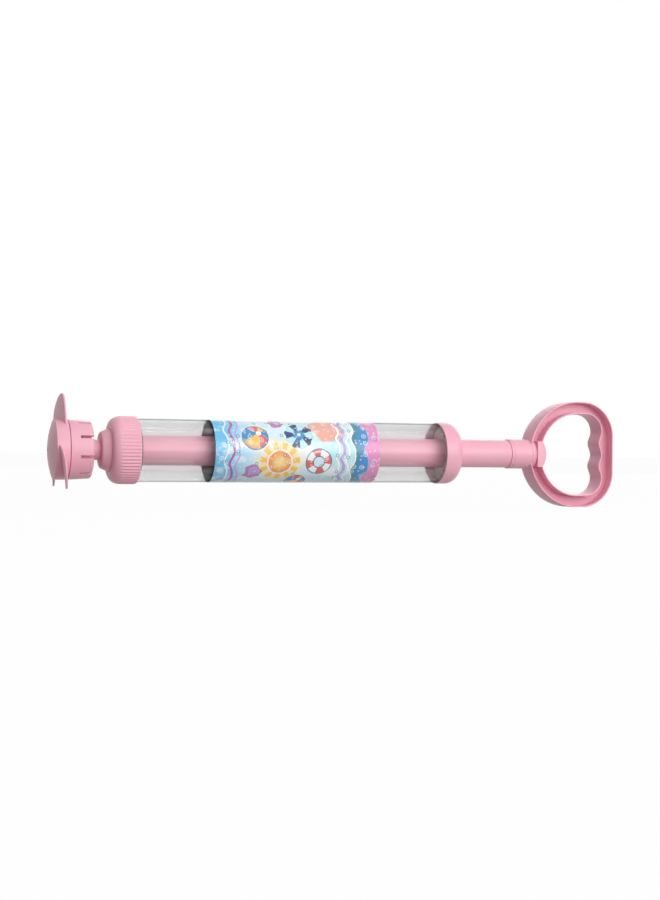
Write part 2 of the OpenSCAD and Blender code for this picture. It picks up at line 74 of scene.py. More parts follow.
def srgb(red: int, green: int, blue: int) -> Colour:
    """Turns a screen colour into the linear colour that shaders take.

    Args:
        red, green, blue: the colour's parts, from 0 to 255.

    Returns:
        The linear colour.
    """
    def linear(part: int) -> float:
        """Linear value of one part."""
        value = part / 255
        return value / 12.92 if value <= 0.04045 else ((value + 0.055) / 1.055) ** 2.4

    return linear(red), linear(green), linear(blue)


@dataclass(frozen=True)
class Span:
    """A CAD node's reach along the barrel's axis, and its highest point, in millimetres."""

    front: float
    back: float
    radius: float

    @classmethod
    def of(cls, node: str) -> "Span":
        """Reads the span of a node from the frame."""
        low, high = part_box(node)
        return cls(low.x / MM, high.x / MM, high.z / MM)


def spaced(start: float, end: float, count: int) -> list[float]:
    """Numbers from a start to an end, both kept, in equal steps."""
    return [start + (end - start) * k / count for k in range(count + 1)]


def rounded(corners: Sequence[Corner], steps: int = 5) -> Outline:
    """Rounds the corners of a closed outline.

    Args:
        corners: the outline's corners in order, each with its place along the axis, its radius
            and, where it isn't sharp, how far it is rounded.
        steps: how many pieces each rounding has.

    Returns:
        The outline's points.
    """
    points: Outline = []
    for i, (x, r, *rounding) in enumerate(corners):
        here = Vector((x, r))
        to_before = Vector(corners[i - 1][:2]) - here
        to_after = Vector(corners[(i + 1) % len(corners)][:2]) - here
        if not rounding or to_before.length < 1e-6 or to_after.length < 1e-6:
            points.append((x, r))
            continue
        half = to_before.angle(to_after) / 2
        reach = min(rounding[0] / math.tan(half), to_before.length * 0.999, to_after.length * 0.999)
        radius = reach * math.tan(half)
        to_before.normalize()
        to_after.normalize()
        centre = here + (to_before + to_after).normalized() * (radius / math.sin(half))
        start = here + to_before * reach - centre
        sweep = start.angle_signed(here + to_after * reach - centre)
        for turn in spaced(0.0, -sweep, max(2, round(steps * (1 + radius / 4)))):
            c, s = math.cos(turn), math.sin(turn)
            points.append((centre.x + start.x * c - start.y * s, centre.y + start.x * s + start.y * c))
    return points


def oval(centre: tuple[float, float], reach: tuple[float, float], start: float, end: float,
         steps: int) -> Outline:
    """Gives the points of an oval corner of a turned outline.

    Args:
        centre: the oval's centre, as place along the axis and radius.
        reach: its half length along the axis and its half height across it.
        start, end: angles in degrees, where -90 is the front, 0 the side and 90 the back.
        steps: how many pieces the corner has.

    Returns:
        The points.
    """
    angles = [math.radians(angle) for angle in spaced(start, end, steps)]
    return [(centre[0] + reach[0] * math.sin(a), centre[1] + reach[1] * math.cos(a)) for a in angles]


def arc(centre: tuple[float, float], radius: float, start: float, end: float, count: int) -> Outline:
    """Points along an arc, its end left out, with angles in degrees."""
    angles = [math.radians(angle) for angle in spaced(start, end, count)[:-1]]
    return [(centre[0] + radius * math.cos(a), centre[1] + radius * math.sin(a)) for a in angles]


class Bench:
    """The modelling steps that are shared by the pieces, all done with Blender's own operators."""

    @staticmethod
    def clear_selection() -> None:
        """Leaves object mode with nothing selected."""
        if bpy.context.object and bpy.context.object.mode != "OBJECT":
            bpy.ops.object.mode_set(mode="OBJECT")
        bpy.ops.object.select_all(action="DESELECT")

    @classmethod
    def take(cls, *pieces: Piece) -> Piece:
        """Selects only these pieces, and makes the first the active one."""
        cls.clear_selection()
        for piece in pieces:
            piece.select_set(True)
        bpy.context.view_layer.objects.active = pieces[0]
        return pieces[0]

    @staticmethod
    def apply_place() -> None:
        """Applies the selected piece's place, turn and scale to its mesh."""
        bpy.ops.object.transform_apply(location=True, rotation=True, scale=True)

    @classmethod
    def draw(cls, name: str, points: Sequence[Vector]) -> Piece:
        """Draws a closed outline by extruding a vertex along its points.

        Args:
            name: the piece's name.
            points: the outline's points, in metres.

        Returns:
            The new piece, in edit mode, with all of it selected.
        """
        cls.clear_selection()
        bpy.ops.mesh.primitive_plane_add(size=MM, location=(0, 0, 0))
        piece = bpy.context.object
        piece.name = name
        piece.data.name = name
        bpy.ops.object.mode_set(mode="EDIT")
        bpy.ops.mesh.select_all(action="SELECT")
        bpy.ops.mesh.merge(type="CENTER")
        bpy.ops.transform.translate(value=points[0])
        for before, here in zip(points, [*points[1:], points[0]]):
            bpy.ops.mesh.extrude_region_move(TRANSFORM_OT_translate={"value": here - before})
        cls.weld(MM * 0.001)
        return piece

    @staticmethod
    def weld(distance: float) -> None:
        """Merges the vertices that are closer than a distance in metres, with all selected after it."""
        bpy.ops.mesh.select_all(action="SELECT")
        bpy.ops.mesh.remove_doubles(threshold=distance)
        bpy.ops.mesh.select_all(action="SELECT")

    @staticmethod
    def close() -> None:
        """Turns all faces outwards and leaves edit mode."""
        bpy.ops.mesh.select_all(action="SELECT")
        bpy.ops.mesh.normals_make_consistent(inside=False)
        bpy.ops.object.mode_set(mode="OBJECT")

    @classmethod
    def thicken(cls, by: Vector) -> None:
        """Extrudes the faces in hand by a vector in metres, and closes the solid."""
        bpy.ops.mesh.select_all(action="SELECT")
        bpy.ops.mesh.extrude_region_move(TRANSFORM_OT_translate={"value": by})
        cls.close()

    @classmethod
    def slab(cls, name: str, points: Sequence[Vector], by: Vector) -> Piece:
        """Fills a closed outline and extrudes it, all in metres."""
        piece = cls.draw(name, points)
        bpy.ops.mesh.edge_face_add()
        cls.thicken(by)
        return piece

    @classmethod
    def turn(cls, name: str, outline: Outline, steps: int = 128) -> Piece:
        """Turns a closed outline round the X axis.

        Args:
            name: the piece's name.
            outline: points along the axis and from it, in millimetres.
            steps: how many steps make the full turn.

        Returns:
            The closed turned piece, in object mode.
        """
        piece = cls.draw(name, [Vector((x, 0, r)) * MM for x, r in outline])
        bpy.ops.mesh.spin(steps=steps, angle=TURN, center=(0, 0, 0), axis=(1, 0, 0))
        cls.weld(MM * 0.002)
        cls.close()
        return piece

    @classmethod
    def block(cls, name: str, low: Vector, high: Vector) -> Piece:
        """Adds a block between two corners, in millimetres, with its place in its mesh."""
        cls.clear_selection()
        bpy.ops.mesh.primitive_cube_add(size=1, location=(low + high) / 2 * MM)
        piece = bpy.context.object
        piece.name = name
        piece.scale = (high - low) * MM
        cls.apply_place()
        return piece

    @classmethod
    def swing(cls, piece: Piece, angle: float) -> Piece:
        """Turns a piece about the barrel's axis, from up towards -Y, and applies the turn."""
        cls.take(piece).rotation_euler = (angle, 0, 0)
        cls.apply_place()
        return piece

    @classmethod
    def join(cls, pieces: Sequence[Piece]) -> Piece:
        """Joins pieces into the first one."""
        cls.take(*pieces)
        bpy.ops.object.join()
        return pieces[0]

    @classmethod
    def modify(cls, piece: Piece, kind: str, **settings: object) -> Piece:
        """Adds a modifier with its settings to a piece and applies it."""
        cls.take(piece)
        step = piece.modifiers.new(kind.lower(), kind)
        for key, value in settings.items():
            setattr(step, key, value)
        bpy.ops.object.modifier_apply(modifier=step.name)
        return piece

    @classmethod
    def combine(cls, piece: Piece, tool: Piece, operation: str) -> Piece:
        """Applies a Boolean, DIFFERENCE or UNION, of a piece with a tool that is used up."""
        cls.modify(piece, "BOOLEAN", operation=operation, solver="MANIFOLD", object=tool)
        bpy.data.objects.remove(tool, do_unlink=True)
        return piece

    @classmethod
    def bevel(cls, piece: Piece, width: float, segments: int, angle: float = 40) -> Piece:
        """Rounds the edges that are sharper than an angle, in degrees, by a width in millimetres."""
        return cls.modify(piece, "BEVEL", width=width * MM, segments=segments, limit_method="ANGLE",
                          angle_limit=math.radians(angle), use_clamp_overlap=True)


class Slot(Enum):
    """The record's material slots, which the shaped pieces are handed over with."""

    PINK = "pink_plastic"
    CLEAR = "clear_plastic"
    FILM = "printed_film"


def finish_piece(piece: Piece, material: Material, angle: float = SMOOTH_ANGLE) -> None:
    """Gives a piece its only material and smooth shading up to an angle in degrees."""
    piece.data.materials.clear()
    piece.data.materials.append(material)
    for face in piece.data.polygons:
        face.material_index = 0
    Bench.take(piece)
    bpy.ops.object.shade_smooth_by_angle(angle=math.radians(angle))
    Bench.clear_selection()


def second_finish(piece: Piece, material: Material,
                  chosen: Callable[[bpy.types.MeshPolygon], bool]) -> None:
    """Gives the chosen faces of a piece a second material."""
    piece.data.materials.append(material)
    for face in piece.data.polygons:
        if chosen(face):
            face.material_index = 1


def place(piece: Piece, body: str, node: str, slot: Slot = Slot.PINK) -> None:
    """Hands a finished piece to the frame.

    Args:
        piece: the piece.
        body: the CAD body that it moves with.
        node: the CAD node that it stands for.
        slot: the record's material slot of the piece; not used.
    """
    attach(piece, body)
    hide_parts(node)
    log.info("%s: %d faces, on %s", piece.name, len(piece.data.polygons), body)


class Graph:
    """Writes a node tree as expressions, so that a pattern reads like a formula."""

    def __init__(self, tree: bpy.types.NodeTree) -> None:
        """Starts from an empty tree."""
        self.tree = tree
        tree.nodes.clear()

    def node(self, kind: str, inputs: dict | None = None, **settings: object) -> Node:
        """Adds a node, sets its properties and feeds its inputs, which are named or numbered."""
        node = self.tree.nodes.new(kind)
        for key, value in settings.items():
            setattr(node, key, value)
        for key, value in (inputs or {}).items():
            self.feed(node.inputs[key], value)
        return node

    def feed(self, socket: Socket, value: object) -> None:
        """Links a socket to another, or sets its value."""
        if isinstance(value, Socket):
            self.tree.links.new(value, socket)
        else:
            if socket.type == "RGBA" and len(value) == 3:
                value = (*value, 1.0)
            socket.default_value = value

    def math(self, operation: str, *values: object) -> Socket:
        """Adds a Math node."""
        return self.node("ShaderNodeMath", dict(enumerate(values)), operation=operation).outputs[0]

    def plus(self, a: object, b: object) -> Socket:
        """Sum of two values."""
        return self.math("ADD", a, b)

    def minus(self, a: object, b: object) -> Socket:
        """Difference of two values."""
        return self.math("SUBTRACT", a, b)

    def times(self, a: object, b: object) -> Socket:
        """Product of two values, or where both of two masks are 1."""
        return self.math("MULTIPLY", a, b)

    def line(self, value: object, slope: object, start: object) -> Socket:
        """A value times a slope, plus a start."""
        return self.math("MULTIPLY_ADD", value, slope, start)

    def sine(self, value: object) -> Socket:
        """Sine of a value."""
        return self.math("SINE", value)

    def total(self, start: object, *terms: tuple[object, float]) -> Socket:
        """Adds terms to a start, each a value with its weight."""
        for value, weight in terms:
            start = self.line(value, weight, start)
        return start

    def step(self, value: object, low: float, high: float) -> Socket:
        """Smooth step from 0 at low to 1 at high, where low may be the larger."""
        ends = (low, high, 0.0, 1.0) if low < high else (high, low, 1.0, 0.0)
        inputs = dict(enumerate((value, *ends)))
        return self.node("ShaderNodeMapRange", inputs, interpolation_type="SMOOTHSTEP").outputs[0]

    def band(self, value: object, middle: float, reach: float) -> Socket:
        """Is 1 close to a middle value, and falls to 0 at a reach from it."""
        return self.step(self.math("ABSOLUTE", self.minus(value, middle)), reach, reach * 0.5)

    def mix(self, factor: object, a: object, b: object) -> Socket:
        """Mixes two colours."""
        return self.node("ShaderNodeMix", {"Factor": factor, 6: a, 7: b}, data_type="RGBA").outputs[2]

    def noise(self, where: object, scale: float, detail: float = 2.0, roughness: float = 0.5) -> Socket:
        """Value of a Noise texture."""
        return self.node("ShaderNodeTexNoise", {
            "Vector": where, "Scale": scale, "Detail": detail, "Roughness": roughness}).outputs["Fac"]

    def streaks(self, where: object, scale: Triple, detail: float, roughness: float) -> Socket:
        """Noise with a scale of its own along each axis."""
        long = self.node("ShaderNodeMapping", {"Vector": where, "Scale": scale}).outputs[0]
        return self.noise(long, 1.0, detail, roughness)

    def here(self) -> Socket:
        """The place on the piece, in metres."""
        return self.node("ShaderNodeTexCoord").outputs["Object"]

    def parts(self, where: object) -> tuple[Socket, ...]:
        """A place's parts along X, Y and Z."""
        return tuple(self.node("ShaderNodeSeparateXYZ", {0: where}).outputs)

    def bump(self, strength: float, distance: float, height: object) -> Socket:
        """Normal of a surface with small heights, whose full height is a distance in metres."""
        return self.node("ShaderNodeBump", {
            "Strength": strength, "Distance": distance, "Height": height}).outputs["Normal"]

    def principled(self, inputs: dict) -> Node:
        """Adds a Principled shader."""
        return self.node("ShaderNodeBsdfPrincipled", inputs)

    def blend(self, factor: object, a: Node, b: Node) -> Node:
        """Mixes two shaders."""
        return self.node("ShaderNodeMixShader", {"Fac": factor, 1: a.outputs[0], 2: b.outputs[0]})

    def finish(self, shader: Node, kind: str = "Material") -> None:
        """Makes a shader the tree's result."""
        self.node("ShaderNodeOutput" + kind, {"Surface": shader.outputs[0]})


def new_material(name: str) -> Material:
    """Makes a material with a node tree."""
    made = bpy.data.materials.new(name)
    made.use_nodes = True
    return made


def new_group(name: str, inputs: dict[str, object], outputs: Sequence[str]
              ) -> tuple[Graph, bpy.types.NodeOutputs, bpy.types.NodeInputs]:
    """Makes an empty shader node group.

    Args:
        name: the group's name.
        inputs: each input's default value, where none means a vector and a tuple means a colour.
        outputs: the outputs' names, where Colour is a colour and the others are values.

    Returns:
        Its graph, the sockets that bring its inputs and the sockets that take its outputs.
    """
    kinds = {float: "NodeSocketFloat", tuple: "NodeSocketColor", type(None): "NodeSocketVector"}
    tree = bpy.data.node_groups.new(name, "ShaderNodeTree")
    for label, value in inputs.items():
        socket = tree.interface.new_socket(label, in_out="INPUT", socket_type=kinds[type(value)])
        if value is not None:
            socket.default_value = value
    for label in outputs:
        kind = kinds[tuple] if label == "Colour" else kinds[float]
        tree.interface.new_socket(label, in_out="OUTPUT", socket_type=kind)
    graph = Graph(tree)
    return graph, graph.node("NodeGroupInput").outputs, graph.node("NodeGroupOutput").inputs


def moulded_surface() -> bpy.types.NodeTree:
    """Group for moulded plastic: flow marks, faint mottling, scuffs and fine dust.

    Returns:
        The node group, with outputs for colour, roughness and height.
    """
    graph, given, out = new_group(
        "Moulded surface",
        {"Vector": None, "Colour": (0.8, 0.4, 0.5, 1.0), "Roughness": 0.3, "Wear": 0.5},
        ("Colour", "Roughness", "Height"),
    )
    where, colour, wear = given["Vector"], given["Colour"], given["Wear"]
    cloud = graph.noise(where, 38, 3)
    flow = graph.streaks(where, (14, 110, 110), 4, 0.6)
    grain = graph.noise(where, 2600, 2, 0.6)
    scuff = graph.times(graph.step(graph.streaks(where, (1900, 160, 420), 2, 0.4), 0.66, 0.78), wear)
    dust = graph.times(graph.step(graph.noise(where, 900, 3, 0.7), 0.60, 0.80), wear)
    pale = graph.mix(graph.times(graph.step(cloud, 0.35, 0.75), 0.30), colour, (1.0, 0.86, 0.90))
    pale = graph.mix(0.22, colour, pale)
    deep = graph.mix(graph.times(graph.step(flow, 0.45, 0.85), 0.10), pale, (0.55, 0.16, 0.24))
    marked = graph.mix(graph.times(scuff, 0.22), deep, (1.0, 0.88, 0.91))
    graph.feed(out["Colour"], graph.mix(graph.times(dust, 0.05), marked, (0.78, 0.74, 0.72)))
    rough = graph.total(given["Roughness"], (cloud, 0.10), (scuff, 0.18), (grain, 0.05))
    graph.feed(out["Roughness"], rough)
    graph.feed(out["Height"], graph.total(0.0, (grain, 0.35), (flow, 0.65), (scuff, -0.3)))
    return graph.tree


@dataclass(frozen=True)
class Plastic:
    """Moulded, coloured plastic."""

    name: str
    colour: Colour
    roughness: float = 0.38
    wear: float = 0.5
    coat: float = 0.08
    coat_roughness: float = 0.12
    bump: float = 0.05
    bump_distance: float = 0.0004

    def material(self, group: bpy.types.NodeTree) -> Material:
        """Makes the material from the moulded surface's node group."""
        made = new_material(self.name)
        graph = Graph(made.node_tree)
        surface = graph.node("ShaderNodeGroup", {
            "Vector": graph.here(), "Colour": self.colour, "Roughness": self.roughness, "Wear": self.wear,
        }, node_tree=group).outputs
        graph.finish(graph.principled({
            "Base Color": surface["Colour"], "Roughness": surface["Roughness"],
            "Normal": graph.bump(self.bump, self.bump_distance, surface["Height"]),
            "Coat Weight": self.coat, "Coat Roughness": self.coat_roughness, "IOR": PLASTIC_IOR,
        }))
        return made


@dataclass(frozen=True)
class ClearTube:
    """Clear extruded plastic, with fine lengthwise lines and a few scuffs.

    Most of what lies behind is seen straight through it, because a thin wall hardly bends the
    view, and lamps shine through.
    """

    tint: Colour = (0.93, 0.935, 0.94)
    scuffed: Colour = (0.93, 0.94, 0.94)
    near: Colour = (0.99, 0.99, 0.99)
    # The far wall's and the edges' colours are painted shade that stands in for the tube's reflections.
    far_wall_shade: Colour = (0.825, 0.825, 0.83)
    edge: Colour = (0.56, 0.57, 0.58)
    middle_radius: float = 0.01915
    straight: float = 0.86
    roughness: float = 0.03

    def material(self) -> Material:
        """Makes the material."""
        made = new_material("clear_tube")
        graph = Graph(made.node_tree)
        where = graph.here()
        scuffs = graph.step(graph.streaks(where, (900, 120, 300), 2, 0.4), 0.68, 0.80)
        wall = graph.principled({
            "Base Color": graph.mix(scuffs, self.tint, self.scuffed),
            "Roughness": graph.line(scuffs, 0.10, self.roughness),
            "Transmission Weight": 1.0, "IOR": PLASTIC_IOR,
            "Normal": graph.bump(0.03, 0.0005, graph.streaks(where, (6, 420, 420), 3, 0.6)),
        })
        pane = graph.blend(self.straight, wall, self.see_through(graph, where))
        path = graph.node("ShaderNodeLightPath").outputs
        light = graph.math("MAXIMUM", path["Is Shadow Ray"], path["Is Diffuse Ray"])
        graph.finish(graph.blend(light, pane, graph.node("ShaderNodeBsdfTransparent")))
        return made

    def see_through(self, graph: Graph, where: Socket) -> Node:
        """Gives the straight view through a wall, with painted shade: greyer at the far wall and along the
        grazing edges, standing in for reflections of the surroundings.
        """
        _, y, z = graph.parts(where)
        radius = graph.math("SQRT", graph.plus(graph.times(y, y), graph.times(z, z)))
        outer = graph.math("GREATER_THAN", radius, self.middle_radius)
        behind = graph.node("ShaderNodeNewGeometry").outputs["Backfacing"]
        # Painted shade: the far wall is seen greyer than the near wall.
        far_wall_shade_mask = graph.math("COMPARE", outer, behind, 0.5)
        slant = graph.node("ShaderNodeLayerWeight", {"Blend": 0.5}).outputs["Facing"]
        # Painted shade: the outer face turns grey towards its grazing edges.
        rim = graph.times(graph.step(slant, 0.62, 0.80), outer)
        colour = graph.mix(rim, graph.mix(far_wall_shade_mask, self.near, self.far_wall_shade), self.edge)
        return graph.node("ShaderNodeBsdfTransparent", {"Color": colour})


def print_spot() -> bpy.types.NodeTree:
    """Group for a round spot on the print: its mask, and the distance and angle from its centre."""
    graph, given, out = new_group(
        "Print spot", {"U": 0.0, "V": 0.0, "Centre U": 0.0, "Centre V": 0.0, "Radius": 5.0},
        ("Mask", "Distance", "Angle"),
    )
    off_u = graph.minus(given["U"], given["Centre U"])
    off_v = graph.minus(given["V"], given["Centre V"])
    distance = graph.math("SQRT", graph.plus(graph.times(off_u, off_u), graph.times(off_v, off_v)))
    graph.feed(out["Mask"], graph.step(graph.minus(given["Radius"], distance), -PRINT_EDGE, PRINT_EDGE))
    graph.feed(out["Distance"], distance)
    graph.feed(out["Angle"], graph.math("ARCTAN2", off_v, off_u))
    return graph.tree


def print_wave() -> bpy.types.NodeTree:
    """Group for a wavy line around the print: the distance along the barrel from the line."""
    graph, given, out = new_group(
        "Print wave", {"U": 0.0, "Turn": 0.0, "Place": 50.0, "Height": 2.0, "Count": 3.0, "Shift": 0.0},
        ("Distance",),
    )
    turn = graph.line(given["Turn"], given["Count"], given["Shift"])
    swell = graph.line(graph.sine(graph.line(turn, 2.0, 1.3)), 0.28, graph.sine(turn))
    middle = graph.line(swell, given["Height"], given["Place"])
    graph.feed(out["Distance"], graph.minus(given["U"], middle))
    return graph.tree


class Painter(Graph):
    """Paints flat shapes over each other on the unrolled film, in millimetres."""

    def __init__(self, tree: bpy.types.NodeTree, front: float, radius: float) -> None:
        """Unrolls the film, with its picture twice around.

        Args:
            tree: the material's node tree.
            front: where the film starts along the barrel.
            radius: the film's radius.
        """
        super().__init__(tree)
        self.spot_group = print_spot()
        self.wave_group = print_wave()
        x, y, z = self.parts(self.here())
        self.u = self.line(x, 1000.0, -front)
        self.angle = self.math("ARCTAN2", z, self.times(y, -1.0))
        half = self.math("WRAP", self.angle, math.pi / 2, -math.pi / 2)
        self.v = self.times(half, radius)
        self.turn = self.times(half, 2.0)
        self.colour: object = WHITE

    def over(self, mask: object, colour: object, strength: float = 1.0) -> None:
        """Lays a colour over the picture where a mask is 1."""
        if strength != 1.0:
            mask = self.times(mask, strength)
        self.colour = self.mix(mask, self.colour, colour)

    def spot(self, u: float, v: float, radius: float, bend: object = None) -> bpy.types.NodeOutputs:
        """Adds a round spot, whose outline a bend can push in and out."""
        across = self.u if bend is None else self.plus(self.u, bend)
        return self.node("ShaderNodeGroup", {
            "U": across, "V": self.v, "Centre U": u, "Centre V": v, "Radius": radius,
        }, node_tree=self.spot_group).outputs

    def dot(self, u: float, v: float, radius: float, colour: object, strength: float = 1.0,
            bend: object = None) -> None:
        """Paints a round spot in one colour."""
        self.over(self.spot(u, v, radius, bend)["Mask"], colour, strength)

    def wave(self, place_u: float, height: float, count: int, shift: float) -> Socket:
        """Gives the distance behind a wavy line around the film."""
        return self.node("ShaderNodeGroup", {
            "U": self.u, "Turn": self.turn, "Place": place_u, "Height": height, "Count": count,
            "Shift": shift,
        }, node_tree=self.wave_group).outputs[0]

    def behind(self, distance: object) -> Socket:
        """Mask of all that lies behind a wavy line."""
        return self.step(distance, -PRINT_EDGE, PRINT_EDGE)

    def stroke(self, distance: object, width: float) -> Socket:
        """Mask of a wavy line with a width."""
        off = self.math("ABSOLUTE", distance)
        return self.step(off, width / 2 + PRINT_EDGE, width / 2 - PRINT_EDGE)

    def sectors(self, angle: object, count: int, shift: float) -> Socket:
        """Mask of every second one of the sectors round a spot."""
        return self.step(self.sine(self.line(angle, float(count), shift)), -0.08, 0.08)


@dataclass(frozen=True)
class FilmPrint:
    """Glossy printed film with a beach picture: balls, swim ring, sun, parasol, waves and bubbles."""

    span: Span
    sky: Colour = srgb(98, 190, 234)
    haze: Colour = srgb(214, 238, 250)
    aqua: Colour = srgb(186, 232, 240)
    white: Colour = srgb(248, 250, 250)
    sea: Colour = srgb(52, 140, 202)
    teal: Colour = srgb(52, 132, 152)
    navy: Colour = srgb(28, 46, 108)
    lilac: Colour = srgb(186, 160, 222)
    pink: Colour = srgb(232, 140, 190)
    magenta: Colour = srgb(178, 62, 150)
    coral: Colour = srgb(222, 98, 88)
    sand: Colour = srgb(240, 176, 158)
    sun: Colour = srgb(250, 196, 84)
    sunset: Colour = srgb(244, 150, 58)
    glow: Colour = srgb(255, 226, 150)

    def material(self) -> Material:
        """Makes the material."""
        made = new_material("printed_film")
        paint = Painter(made.node_tree, self.span.front, self.span.radius)
        self.background(paint)
        self.toys(paint)
        self.sea_side(paint)
        self.spray(paint)
        self.shader(paint)
        return made

    def background(self, paint: Painter) -> None:
        """Paints the sky from blue in front to pale behind, with soft clouds and three wavy streamers."""
        paint.colour = paint.mix(paint.step(paint.u, 3.0, 30.0), self.sky, self.haze)
        paint.over(paint.step(paint.u, 58.0, 84.0), self.aqua)
        clouds = paint.streaks(paint.here(), (70, 120, 120), 3, 0.6)
        paint.over(paint.step(clouds, 0.47, 0.66), self.white, 0.75)
        for place_u, shift, width, colour in (
                (7.5, 0.4, 1.0, self.white), (11.0, 0.9, 1.7, self.magenta), (14.6, 1.4, 1.1, self.lilac)):
            paint.over(paint.stroke(paint.wave(place_u, 1.3, 3, shift), width), colour, 0.9)

    def beach_ball(self, paint: Painter, u: float, v: float, radius: float) -> None:
        """Paints a striped beach ball with a dark outline and a shaded side."""
        ball = paint.spot(u, v, radius)
        pole = paint.spot(u + radius * 0.28, v + radius * 0.32, radius * 0.2)
        inner = paint.spot(u, v, radius - 0.6)["Mask"]
        paint.over(ball["Mask"], self.navy)
        paint.over(inner, self.white)
        for shift, colour in ((0.0, self.sea), (2.1, self.coral), (4.2, self.sun)):
            wedge = paint.step(paint.math("COSINE", paint.line(pole["Angle"], 2.0, shift)), 0.46, 0.58)
            paint.over(paint.times(inner, wedge), colour)
        paint.over(pole["Mask"], self.white)
        shadow = paint.step(ball["Distance"], radius * 0.45, radius * 1.05)
        low = paint.step(paint.v, v + radius * 0.2, v - radius)
        paint.over(paint.times(ball["Mask"], paint.times(shadow, low)), self.navy, 0.5)

    def sunshine(self, paint: Painter, u: float, v: float, radius: float) -> None:
        """Paints the sun, its glow and its rays."""
        glow = paint.spot(u, v, radius * 2.6)["Distance"]
        paint.over(paint.step(glow, radius * 2.6, radius * 0.9), self.glow, 0.95)
        rays = paint.spot(u, v, radius * 1.75)
        paint.over(paint.times(rays["Mask"], paint.sectors(rays["Angle"], 11, 0.0)), self.sun)
        paint.dot(u, v, radius + 0.9, self.white)
        disc = paint.spot(u, v, radius)
        warm = paint.step(disc["Distance"], radius, radius * 0.1)
        paint.over(disc["Mask"], paint.mix(warm, self.sunset, self.glow))

    def swim_ring(self, paint: Painter, u: float, v: float, radius: float) -> None:
        """Paints a swim ring in two colours, with a dark outline."""
        for grow, colour in ((0.6, self.navy), (0.0, self.white)):
            ring = paint.spot(u, v, radius + grow)
            hole = paint.spot(u, v, radius * 0.5 - grow)
            body = paint.times(ring["Mask"], paint.minus(1.0, hole["Mask"]))
            paint.over(body, colour)
        paint.over(paint.times(body, paint.sectors(ring["Angle"], 4, 0.7)), self.coral)
        shine = paint.band(ring["Distance"], radius * 0.82, radius * 0.1)
        paint.over(paint.times(shine, paint.step(paint.v, v, v + radius)), self.white, 0.7)

    def parasol(self, paint: Painter, u: float, v: float, radius: float) -> None:
        """Paints a parasol from above, in navy and pale blue."""
        cloth = paint.spot(u, v, radius)
        scallops = paint.line(paint.sine(paint.times(cloth["Angle"], 10.0)), 0.45, cloth["Distance"])
        mask = paint.step(scallops, radius, radius - 0.25)
        paint.over(mask, self.navy)
        paint.over(paint.times(mask, paint.sectors(cloth["Angle"], 5, 1.57)), self.aqua)
        paint.over(paint.step(scallops, radius * 0.42, radius * 0.38), self.sea)
        paint.dot(u, v, radius * 0.13, self.white)

    def splash(self, paint: Painter, u: float, v: float, radius: float) -> None:
        """Paints a ragged splash of two colours."""
        ragged = paint.line(paint.noise(paint.here(), 240, 2), 9.0, -4.5)
        paint.dot(u, v, radius, self.magenta, 0.8, ragged)
        paint.dot(u + 1.0, v + 1.0, radius * 0.58, self.lilac, 0.9, ragged)

    def toys(self, paint: Painter) -> None:
        """Paints the things of the beach, spread over the film."""
        shore = paint.times(paint.sine(paint.times(paint.v, 0.4)), 1.6)
        paint.dot(74.0, 17.0, 10.5, self.sand, bend=shore)
        self.sunshine(paint, 42.0, -7.0, 7.6)
        self.beach_ball(paint, 26.0, 9.5, 8.6)
        self.parasol(paint, 55.0, 11.5, 9.4)
        self.swim_ring(paint, 68.0, -6.5, 8.2)
        self.splash(paint, 24.5, -14.0, 5.6)
        self.splash(paint, 41.0, 22.0, 5.0)
        self.beach_ball(paint, 55.0, -23.5, 7.0)

    def sea_side(self, paint: Painter) -> None:
        """Paints the foam lines, the sea and the pink margin at the back."""
        for place_u, shift, width, colour in (
                (81.0, 0.3, 1.5, self.white), (84.4, 0.8, 1.9, self.lilac), (87.6, 1.3, 1.5, self.white)):
            wave = paint.wave(place_u, 1.1, 5, shift)
            paint.over(paint.stroke(wave, width + 0.8), self.teal, 0.30)
            paint.over(paint.stroke(wave, width), colour)
        sea = paint.wave(91.5, 1.3, 3, 2.2)
        paint.over(paint.behind(sea), paint.mix(paint.step(sea, 0.0, 7.0), self.teal, self.sea))
        paint.over(paint.stroke(sea, 0.9), self.white)
        edge = paint.wave(101.6, 1.7, 3, 4.3)
        paint.over(paint.behind(paint.plus(edge, 1.3)), self.lilac)
        paint.over(paint.behind(edge), self.pink)
        paint.over(paint.stroke(paint.wave(106.0, 0.9, 4, 0.5), 0.7), self.lilac, 0.7)

    def spray(self, paint: Painter) -> None:
        """Paints bubbles and drops in scattered places."""
        flat = paint.node("ShaderNodeCombineXYZ", {0: paint.u, 1: paint.v}).outputs[0]
        for scale, size, colour in (
                (0.16, 0.22, self.white), (0.30, 0.15, self.white), (0.11, 0.10, self.teal)):
            where = {"Vector": flat, "Scale": scale}
            cells = paint.node("ShaderNodeTexVoronoi", where, voronoi_dimensions="2D").outputs
            distance = cells["Distance"]
            tone = paint.node("ShaderNodeSeparateColor", {0: cells["Color"]}).outputs[0]
            chosen = paint.step(tone, 0.55, 0.56)
            paint.over(paint.times(paint.band(distance, size, 0.035), chosen), colour, 0.9)
            paint.over(paint.times(paint.step(distance, size * 0.5, size * 0.4), chosen), self.white, 0.5)

